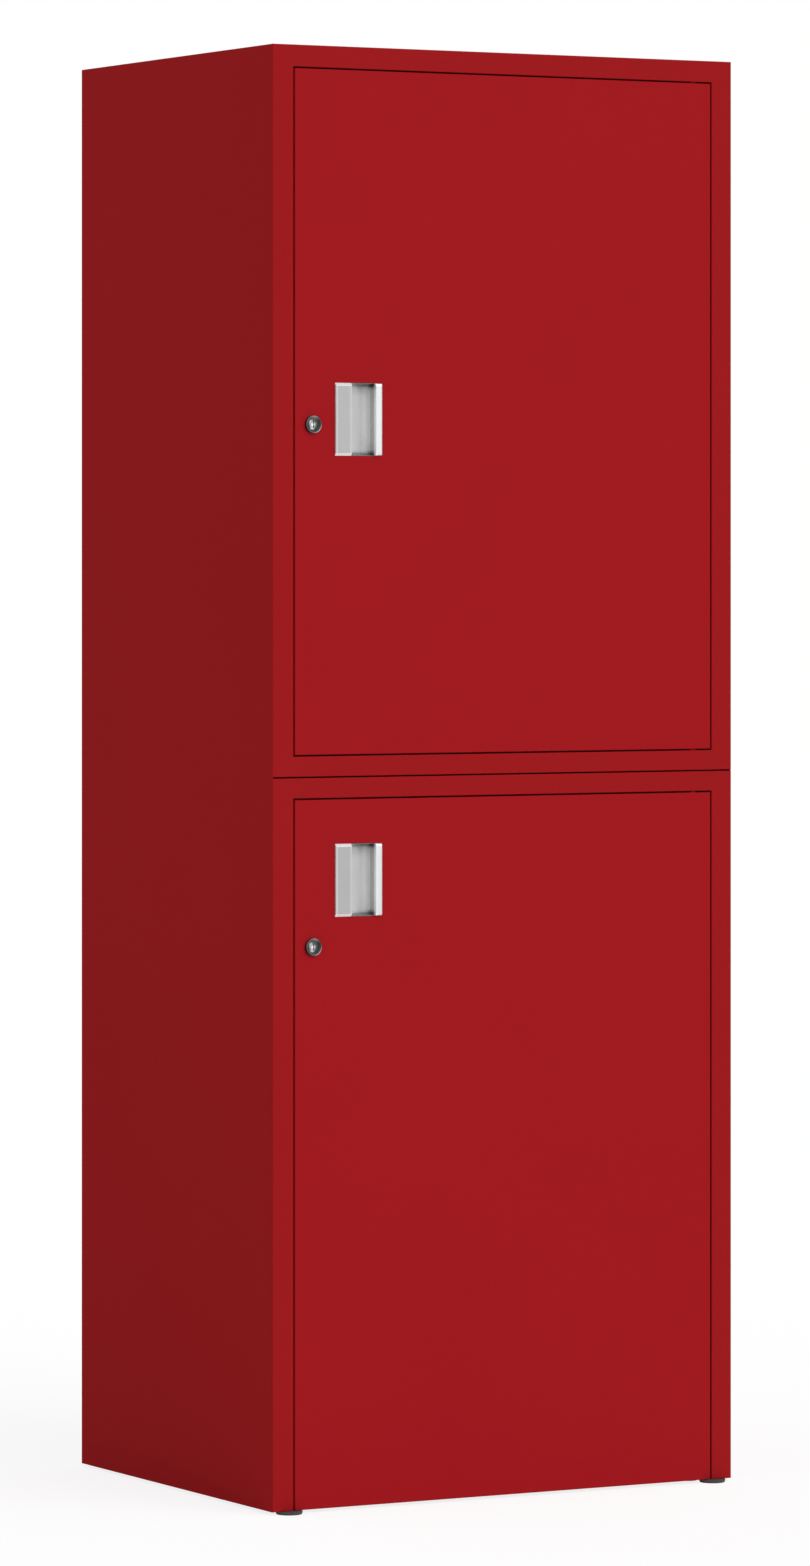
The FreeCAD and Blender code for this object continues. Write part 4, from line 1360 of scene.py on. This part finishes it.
@dataclass
class PanScrew:
    """Pan-head screw with a cross recess.

    Attributes:
        size: Sizes of its kind.
        seat: Point on the axis where the head meets what it holds.
        length: Length of the shank from the seat.
        axis: Direction of the axis.
        way: 1 where the shank points along the axis, and -1 where it points against it.
        head_shares: Shares of the head's radius at which its first and its last ring stand.
        head_rings: Number of those rings.
        dome: Share of the head's height that is domed.
        recess: Depth of the recess as a share of the head's height.
        arm_edge: Shares of the head's radius between which the recess's arm fades in sideways.
        arm_end: Shares of it between which the arm fades in from its end.
        tip_ease: Largest width of the eased tip.
    """

    size: ScrewSize
    seat: tuple[float, float, float]
    length: float
    axis: Axis = Axis.DEPTH
    way: float = 1.0
    head_shares: tuple[float, float] = (0.04, 1.0)
    head_rings: int = 13
    dome: float = 0.4
    recess: float = 0.55
    arm_edge: tuple[float, float] = (0.19, 0.11)
    arm_end: tuple[float, float] = (0.58, 0.44)
    tip_ease: float = 0.3 * MM

    def rings(self) -> np.ndarray:
        """Rings of the screw, from the middle of its head to its tip.

        At the share s of the head's radius the dome's height is h (1 - d + d sqrt(1 - s^2)).
        The recess takes its share of h off it, times the rise of the smaller of |x| and |y|
        over the arm's edge and the rise of the larger over the arm's end.

        Returns:
            Points as rings by segments by 3.
        """
        angle = np.linspace(0.0, math.tau, SEGMENTS, endpoint=False)
        share = np.linspace(*self.head_shares, self.head_rings)[:, None]
        across, upright = share * np.abs(np.cos(angle)), share * np.abs(np.sin(angle))
        arm = rise(np.minimum(across, upright), *self.arm_edge)
        arm = arm * rise(np.maximum(across, upright), *self.arm_end)
        curve = 1.0 - self.dome + self.dome * np.sqrt(1.0 - share**2)
        dome = self.size.head_height * (curve - self.recess * arm)
        shank = self.size.shank_radius
        tip = min(self.tip_ease, 0.5 * shank)
        tail = np.array([
            (self.size.head_radius, 0.0), (shank, 0.0),
            (shank, self.length - tip), (shank - tip, self.length),
        ])
        spread = np.ones((1, SEGMENTS))
        radius = np.concatenate([share * self.size.head_radius, tail[:, :1]]) * spread
        along = np.concatenate([-dome, tail[:, 1:] * spread])
        return turned(radius, along * self.way, self.seat, self.axis)


@dataclass
class Screws:
    """Screws of the catches, cams, pulls and feet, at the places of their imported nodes.

    Attributes:
        catch: Sizes of a catch screw.
        catch_pitch: Distance between the two screws of a catch.
        cam: Sizes of a cam screw.
        pull: Sizes of a pull screw.
        foot: Sizes of a foot screw.
    """

    catch: ScrewSize = ScrewSize(2.6 * MM, 1.4 * MM, 1.5 * MM)
    catch_pitch: float = 24.0 * MM
    cam: ScrewSize = ScrewSize(5.0 * MM, 2.5 * MM, 2.0 * MM)
    pull: ScrewSize = ScrewSize(5.0 * MM, 2.0 * MM, 1.7 * MM)
    foot: ScrewSize = ScrewSize(3.2 * MM, 1.5 * MM, 1.5 * MM)

    @staticmethod
    def add(node: str, screws: Sequence[PanScrew]) -> None:
        """Make one piece of a node's screws.

        Args:
            node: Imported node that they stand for.
            screws: The screws.
        """
        skin = Skin()
        for screw in screws:
            skin.wrap(screw.rings())
        add_piece(skin.mesh(f"{node}_turned"), body_of(node), Slot.ZINC_PLATE, [node])

    @staticmethod
    def ends(node: str, size: ScrewSize) -> list[float]:
        """Levels of the lowest and the highest screw of a node."""
        low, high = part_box(node)
        return [low.z + size.head_radius, high.z - size.head_radius]

    def add_column(self, node: str, size: ScrewSize, way: float, levels: Sequence[float]) -> None:
        """Make the screws of a node that stand above one another and point in or out.

        Args:
            node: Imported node, whose box gives the rest of the screws' places.
            size: Sizes of the screws.
            way: 1 where the shanks point inwards, and -1 where they point outwards.
            levels: Height of each screw.
        """
        low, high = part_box(node)
        x = (low.x + high.x) / 2.0
        seat = low.y + size.head_height if way > 0.0 else high.y - size.head_height
        length = high.y - low.y - size.head_height
        self.add(node, [PanScrew(size, (x, seat, z), length, way=way) for z in levels])

    def build(self) -> None:
        """Make the screws of every node."""
        bottom, top = self.ends("catch_screws", self.catch)
        levels = [bottom, bottom + self.catch_pitch, top - self.catch_pitch, top]
        self.add_column("catch_screws", self.catch, 1.0, levels)
        for unit in UNITS:
            cam, pulls = f"{unit}_cam_screw", f"{unit}_pull_screws"
            self.add_column(cam, self.cam, -1.0, [sum(self.ends(cam, self.cam)) / 2.0])
            self.add_column(pulls, self.pull, -1.0, self.ends(pulls, self.pull))
        low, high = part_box("foot_screws")
        seat, length = low.z + self.foot.head_height, high.z - low.z - self.foot.head_height
        feet = [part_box(f"{corner}_foot") for corner in CORNERS]
        middles = [(first + last) / 2.0 for first, last in feet]
        self.add("foot_screws", [
            PanScrew(self.foot, (m.x, m.y, seat), length, Axis.HEIGHT) for m in middles
        ])


@dataclass
class LowestPivot:
    """Pins of the lower door, and the flat bracket below it with its nose ground to a wedge.

    Attributes:
        nose_radius: Radius of the bracket's round nose.
        nose_start: Angle on that round at which the blunt tip ends, in radians.
        gauge: Gauge of the bracket.
        tip_gauge: Gauge at the tip of the nose.
        grind_run: Length over which the gauge grows to the full one.
        pin_radius: Radius of a pin.
        collar_radius: Radius of the upper pin's collar.
        collar_height: Height of the collar.
        seat_depth: Length of the upper pin in its rail and plate.
        pin_reach: Length of a pin inside the door.
        pin_ease: Width of a pin's eased ends.
        collar_ease: Width of the collar's eased edges.
        seat_gap: Gap between the collar and the door.
        base_clearance: Gap below the door.
    """

    nose_radius: float = 5.0 * MM
    nose_start: float = 0.12
    gauge: float = 1.5 * MM
    tip_gauge: float = 0.25 * MM
    grind_run: float = 11.0 * MM
    pin_radius: float = 3.0 * MM
    collar_radius: float = 5.0 * MM
    collar_height: float = 1.2 * MM
    seat_depth: float = 4.2 * MM
    pin_reach: float = 8.0 * MM
    pin_ease: float = 0.5 * MM
    collar_ease: float = 0.2 * MM
    seat_gap: float = 0.4 * MM
    base_clearance: float = 0.3 * MM

    def build_bracket(self) -> None:
        """Loft the bracket along its length, under the floor tray and up behind its flange.

        At the distance d from the tip the half width is sqrt(r^2 - (r - d)^2), and r from d = r
        on. The gauge is tip + (full - tip) d / run, up to the full one.
        """
        low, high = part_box("lower_pivot_bracket")
        middle_x, top = (low.x + high.x) / 2.0, low.z + self.gauge
        nose = 1.0 - np.cos(np.linspace(self.nose_start, math.pi / 2.0, 10))
        run = np.append(self.nose_radius * nose, [self.grind_run, high.y - low.y - self.gauge])
        half = np.sqrt(self.nose_radius**2 - np.maximum(0.0, self.nose_radius - run) ** 2)
        growth = (self.gauge - self.tip_gauge) * np.minimum(1.0, run / self.grind_run)
        gauge = self.tip_gauge + growth
        inner = np.stack([low.y + run, np.full(len(run), top)], axis=1)
        outer = np.stack([low.y + run, top - gauge], axis=1)
        inner = np.vstack([inner, [high.y - self.gauge, high.z]])
        outer = np.vstack([outer[:-1], [high.y, low.z], [high.y, high.z]])
        half = np.append(half, self.nose_radius)
        corners = [(-half, inner), (half, inner), (half, outer), (-half, outer)]
        rings = np.stack([np.column_stack([middle_x + side, path]) for side, path in corners], axis=1)
        skin = Skin()
        skin.wrap(rings)
        mesh = skin.mesh("lower_pivot_wedge_bracket")
        add_piece(mesh, "cabinet", Slot.RED_PAINT, ["lower_pivot_bracket"])

    def build_pins(self) -> None:
        """Turn both pins with eased ends; the lower one starts inside the bracket's wedge."""
        low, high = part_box("lower_pivot_pins")
        x, y = (low.x + high.x) / 2.0, (low.y + high.y) / 2.0
        pin, collar, seat = self.pin_radius, self.collar_radius, self.seat_depth
        ease, soft = self.pin_ease, self.collar_ease
        shoulder = seat + self.collar_height
        reach = shoulder + self.seat_gap + self.pin_reach
        top_profile = np.array([
            (pin - ease, 0.0), (pin, ease), (pin, seat), (collar - soft, seat),
            (collar, seat + soft), (collar, shoulder - soft), (collar - soft, shoulder),
            (pin, shoulder), (pin, reach - ease), (pin - ease, reach),
        ])
        base = low.z + self.gauge - self.tip_gauge
        length = self.tip_gauge + self.base_clearance + self.pin_reach
        low_profile = np.array([
            (pin - soft, 0.0), (pin, soft / 2.0), (pin, length - ease), (pin - ease, length),
        ])
        skin = Skin()
        for profile, way, level in ((top_profile, -1.0, high.z), (low_profile, 1.0, base)):
            skin.wrap(turned(profile[:, 0], way * profile[:, 1], (x, y, level), Axis.HEIGHT))
        mesh = skin.mesh("lower_pivot_pins_turned")
        add_piece(mesh, "cabinet", Slot.RED_PAINT, ["lower_pivot_pins"])

    def build(self) -> None:
        """Make the bracket and the pins."""
        self.build_bracket()
        self.build_pins()


# ---------------------------------------------------------------------------------------
# Rubber parts
# ---------------------------------------------------------------------------------------

@dataclass
class Buffers:
    """Domed rubber buffers that the doors close against.

    Attributes:
        radius: Radius of a buffer.
        base_rise: Height of the lower buffer's middle above a door's lower edge.
        catch_drop: Distance of the upper buffer's middle below the catch's middle.
        catch_height: Height of a catch.
    """

    radius: float = 4.0 * MM
    base_rise: float = 116.0 * MM
    catch_drop: float = 46.0 * MM
    catch_height: float = 40.0 * MM

    def build(self) -> None:
        """Turn the four buffers: flat in the middle and rounded down to a straight edge."""
        low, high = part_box("door_buffers")
        profile = np.array([
            (0.10, 0.00), (0.45, 0.01), (0.70, 0.05), (0.85, 0.14),
            (0.94, 0.28), (0.99, 0.46), (1.0, 0.65), (1.0, 1.0),
        ]) * (self.radius, high.y - low.y)
        catch_low, catch_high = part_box("magnetic_catches")
        half_catch = self.catch_height / 2.0
        levels = []
        for unit, catch in zip(UNITS, (catch_high.z - half_catch, catch_low.z + half_catch)):
            levels += [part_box(f"{unit}_door_skin")[0].z + self.base_rise, catch - self.catch_drop]
        skin = Skin()
        for level in levels:
            centre = ((low.x + high.x) / 2.0, low.y, level)
            skin.wrap(turned(profile[:, 0], profile[:, 1], centre, Axis.DEPTH))
        add_piece(skin.mesh("door_buffers_domed"), "cabinet", Slot.BLACK_RUBBER, ["door_buffers"])


@dataclass
class Foot:
    """Low round rubber foot with a grooved wall and a sunk screw.

    Attributes:
        corner: Name part of the corner, such as front_left.
        tread_radius: Radius at the floor.
        radius: Radius at the base plate.
        sink_radius: Radius of the sink for the screw's head.
        sink_height: Height of the sink.
        bore_radius: Radius of the screw's bore.
        setbacks: How far before each inner corner of the half section its bend starts.
        longest_run: Longest run between two points of the half section.
        wall_margin: How far inside the tread's radius the grooved wall may start.
        groove_depth: Depth of the groove.
        groove_spread: Spread of the groove along the wall.
        groove_level: Height of the groove as a share of the foot's height.
    """

    corner: str
    tread_radius: float = 13.5 * MM
    radius: float = 14.3 * MM
    sink_radius: float = 4.0 * MM
    sink_height: float = 2.0 * MM
    bore_radius: float = 1.5 * MM
    setbacks: tuple[float, ...] = tuple(s * MM for s in (0.2, 0.3, 0.4, 0.8, 0.35))
    longest_run: float = 0.25 * MM
    wall_margin: float = 0.2 * MM
    groove_depth: float = 0.25 * MM
    groove_spread: float = 0.3 * MM
    groove_level: float = 0.6

    def build(self) -> None:
        """Turn the foot, whose wall loses depth exp(-((z - z0) / spread)^2) to the groove."""
        node = f"{self.corner}_foot"
        low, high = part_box(node)
        height = high.z - low.z
        corners = np.array([
            (self.bore_radius, height), (self.bore_radius, self.sink_height),
            (self.sink_radius, self.sink_height), (self.sink_radius, 0.0),
            (self.tread_radius, 0.0), (self.radius, height), (self.bore_radius, height),
        ])
        path = refined(softened(corners, self.setbacks), self.longest_run)[:-1]
        on_wall = path[:, 0] > self.tread_radius - self.wall_margin
        away = (path[:, 1] - self.groove_level * height) / self.groove_spread
        radius = path[:, 0] - on_wall * self.groove_depth * np.exp(-(away**2))
        centre = ((low.x + high.x) / 2.0, (low.y + high.y) / 2.0, low.z)
        skin = Skin()
        skin.wrap(turned(radius, path[:, 1], centre, Axis.HEIGHT, FINE_SEGMENTS), loop=True)
        add_piece(skin.mesh(f"{self.corner}_rubber_foot"), "cabinet", Slot.BLACK_RUBBER, [node])


# ---------------------------------------------------------------------------------------
# Studio and camera
# ---------------------------------------------------------------------------------------

@dataclass
class Studio:
    """Plain pale floor, even world light and one soft key lamp.

    Attributes:
        ambient: Level of the world's light on matt surfaces.
        key_strength: Strength of the key lamp.
        key_from: Direction that the key light comes from.
        key_spread: Angle of the key lamp's disc in degrees.
        floor_half: Half the side of the floor.
        floor_albedo: Whiteness of the floor for the light that it throws back.
        floor_shade: Share of the floor's look that takes light and shadow.
    """

    ambient: float = 0.585
    key_strength: float = 1.30
    key_from: tuple[float, float, float] = (0.42, -0.78, 0.52)
    key_spread: float = 50.0
    floor_half: float = 30.0
    floor_albedo: float = 0.99
    floor_shade: float = 0.22

    def build_world(self) -> None:
        """Light matt surfaces evenly, and show white to the camera, to gloss and to glass."""
        world = bpy.data.worlds.new("studio")
        world.use_nodes = True
        bpy.context.scene.world = world
        graph = Graph(world.node_tree)
        seen = self.seen_directly(graph)
        even, white = (
            graph.add("ShaderNodeBackground", inputs={"Color": WHITE, "Strength": level})
            for level in (self.ambient, 1.0)
        )
        graph.surface(graph.add("ShaderNodeMixShader", inputs={0: seen, 1: even, 2: white}))

    @staticmethod
    def seen_directly(graph: Graph) -> Wire:
        """Mask that is 1 for what the camera, gloss and glass see.

        Args:
            graph: Graph for the nodes.

        Returns:
            The mask.
        """
        camera, gloss, glass = (
            graph.add("ShaderNodeLightPath", output=name)
            for name in ("Is Camera Ray", "Is Glossy Ray", "Is Transmission Ray")
        )
        return camera.largest(gloss).largest(glass)

    def floor_level(self) -> float:
        """Light on the open floor, as the brightness of a white matt surface there."""
        length = math.sqrt(sum(c * c for c in self.key_from))
        return self.ambient + self.key_strength * self.key_from[2] / length / math.pi

    def build_floor(self) -> None:
        """Lay a white floor that keeps the locker's shadow."""
        half = self.floor_half
        mesh = bpy.data.meshes.new("floor")
        corners = [(-half, -half, 0.0), (half, -half, 0.0), (half, half, 0.0), (-half, half, 0.0)]
        mesh.from_pydata(corners, [], [(0, 1, 2, 3)])
        floor = bpy.data.objects.new("floor", mesh)
        bpy.context.scene.collection.objects.link(floor)
        material = bpy.data.materials.new("white_floor")
        material.use_nodes = True
        graph = Graph(material.node_tree)
        matt, shaded = (
            graph.add("ShaderNodeBsdfDiffuse", inputs={"Color": (level,) * 3 + (1.0,)})
            for level in (self.floor_albedo, self.floor_shade)
        )
        glow_level = 1.0 - self.floor_shade * self.floor_level()
        glow = graph.add("ShaderNodeEmission", inputs={"Strength": glow_level})
        pale = graph.add("ShaderNodeAddShader", inputs={0: shaded, 1: glow})
        seen = self.seen_directly(graph)
        graph.surface(graph.add("ShaderNodeMixShader", inputs={0: seen, 1: matt, 2: pale}))
        mesh.materials.append(material)

    def build_key(self) -> None:
        """Hang the key lamp, a soft sun from the right in front."""
        lamp = bpy.data.lights.new("key", "SUN")
        lamp.energy = self.key_strength
        lamp.angle = math.radians(self.key_spread)
        key = bpy.data.objects.new("key", lamp)
        bpy.context.scene.collection.objects.link(key)
        x, y, z = self.key_from
        key.rotation_euler = (math.atan2(math.hypot(x, y), z), 0.0, math.atan2(x, -y))

    def build(self) -> None:
        """Make the world, the floor and the lamp."""
        self.build_world()
        self.build_floor()
        self.build_key()
        LOG.info("studio: floor level %.3f", self.floor_level())


@dataclass
class Camera:
    """Level camera on the left in front, with the frame shifted down.

    Attributes:
        offset: Where it stands, from the middle of the front's bottom edge.
        look: Level direction that it looks along.
        lens: Focal length in millimetres.
        sensor: Width of the sensor in millimetres.
        shift: Frame's shift as a share of its long side.
        clip_end: Distance to which the camera sees.
    """

    offset: tuple[float, float, float] = (-3.6351, -6.3538, 0.9948)
    look: tuple[float, float] = (0.48386, 0.87515)
    lens: float = 159.22
    sensor: float = 36.0
    shift: float = -0.14644
    clip_end: float = 200.0

    def build(self) -> None:
        """Set the camera up and make it the scene's own."""
        data = bpy.data.cameras.new("camera")
        data.lens = self.lens
        data.sensor_width = self.sensor
        data.shift_y = self.shift
        data.clip_end = self.clip_end
        camera = bpy.data.objects.new("camera", data)
        front_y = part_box("upper_door_skin")[0].y
        base_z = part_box("left_side_panel")[0].z
        camera.location = np.add(self.offset, (0.0, front_y, base_z)).tolist()
        camera.rotation_euler = (math.pi / 2.0, 0.0, -math.atan2(*self.look))
        bpy.context.scene.collection.objects.link(camera)
        bpy.context.scene.camera = camera


# ---------------------------------------------------------------------------------------
# The locker
# ---------------------------------------------------------------------------------------

def dress_solids() -> None:
    """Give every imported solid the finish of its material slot."""
    slots = {row["node"]: row["material_slot"] for row in frame["record"]["subparts"]}
    for name, solid in frame["nodes"].items():
        slot = Slot[slots[name].upper()]
        solid.data.materials.clear()
        solid.data.materials.append(slot.value.material())
        slot.name.lower()
    LOG.info("dressed %d packed solids", len(slots))


def main() -> None:
    """Build the camera, the studio and the locker's pieces in order."""
    logging.basicConfig(level=logging.INFO, format="%(name)s: %(message)s")
    bpy.context.scene.view_settings.view_transform = "Standard"
    Camera().build()
    Studio().build()
    dress_solids()
    for door in UNITS:
        DoorPull(door).build()
        CamLock(door).build()
    for part in eased_parts():
        part.build()
    Screws().build()
    LowestPivot().build()
    Buffers().build()
    for corner in CORNERS:
        Foot(corner).build()


if __name__ == "__main__":
    main()
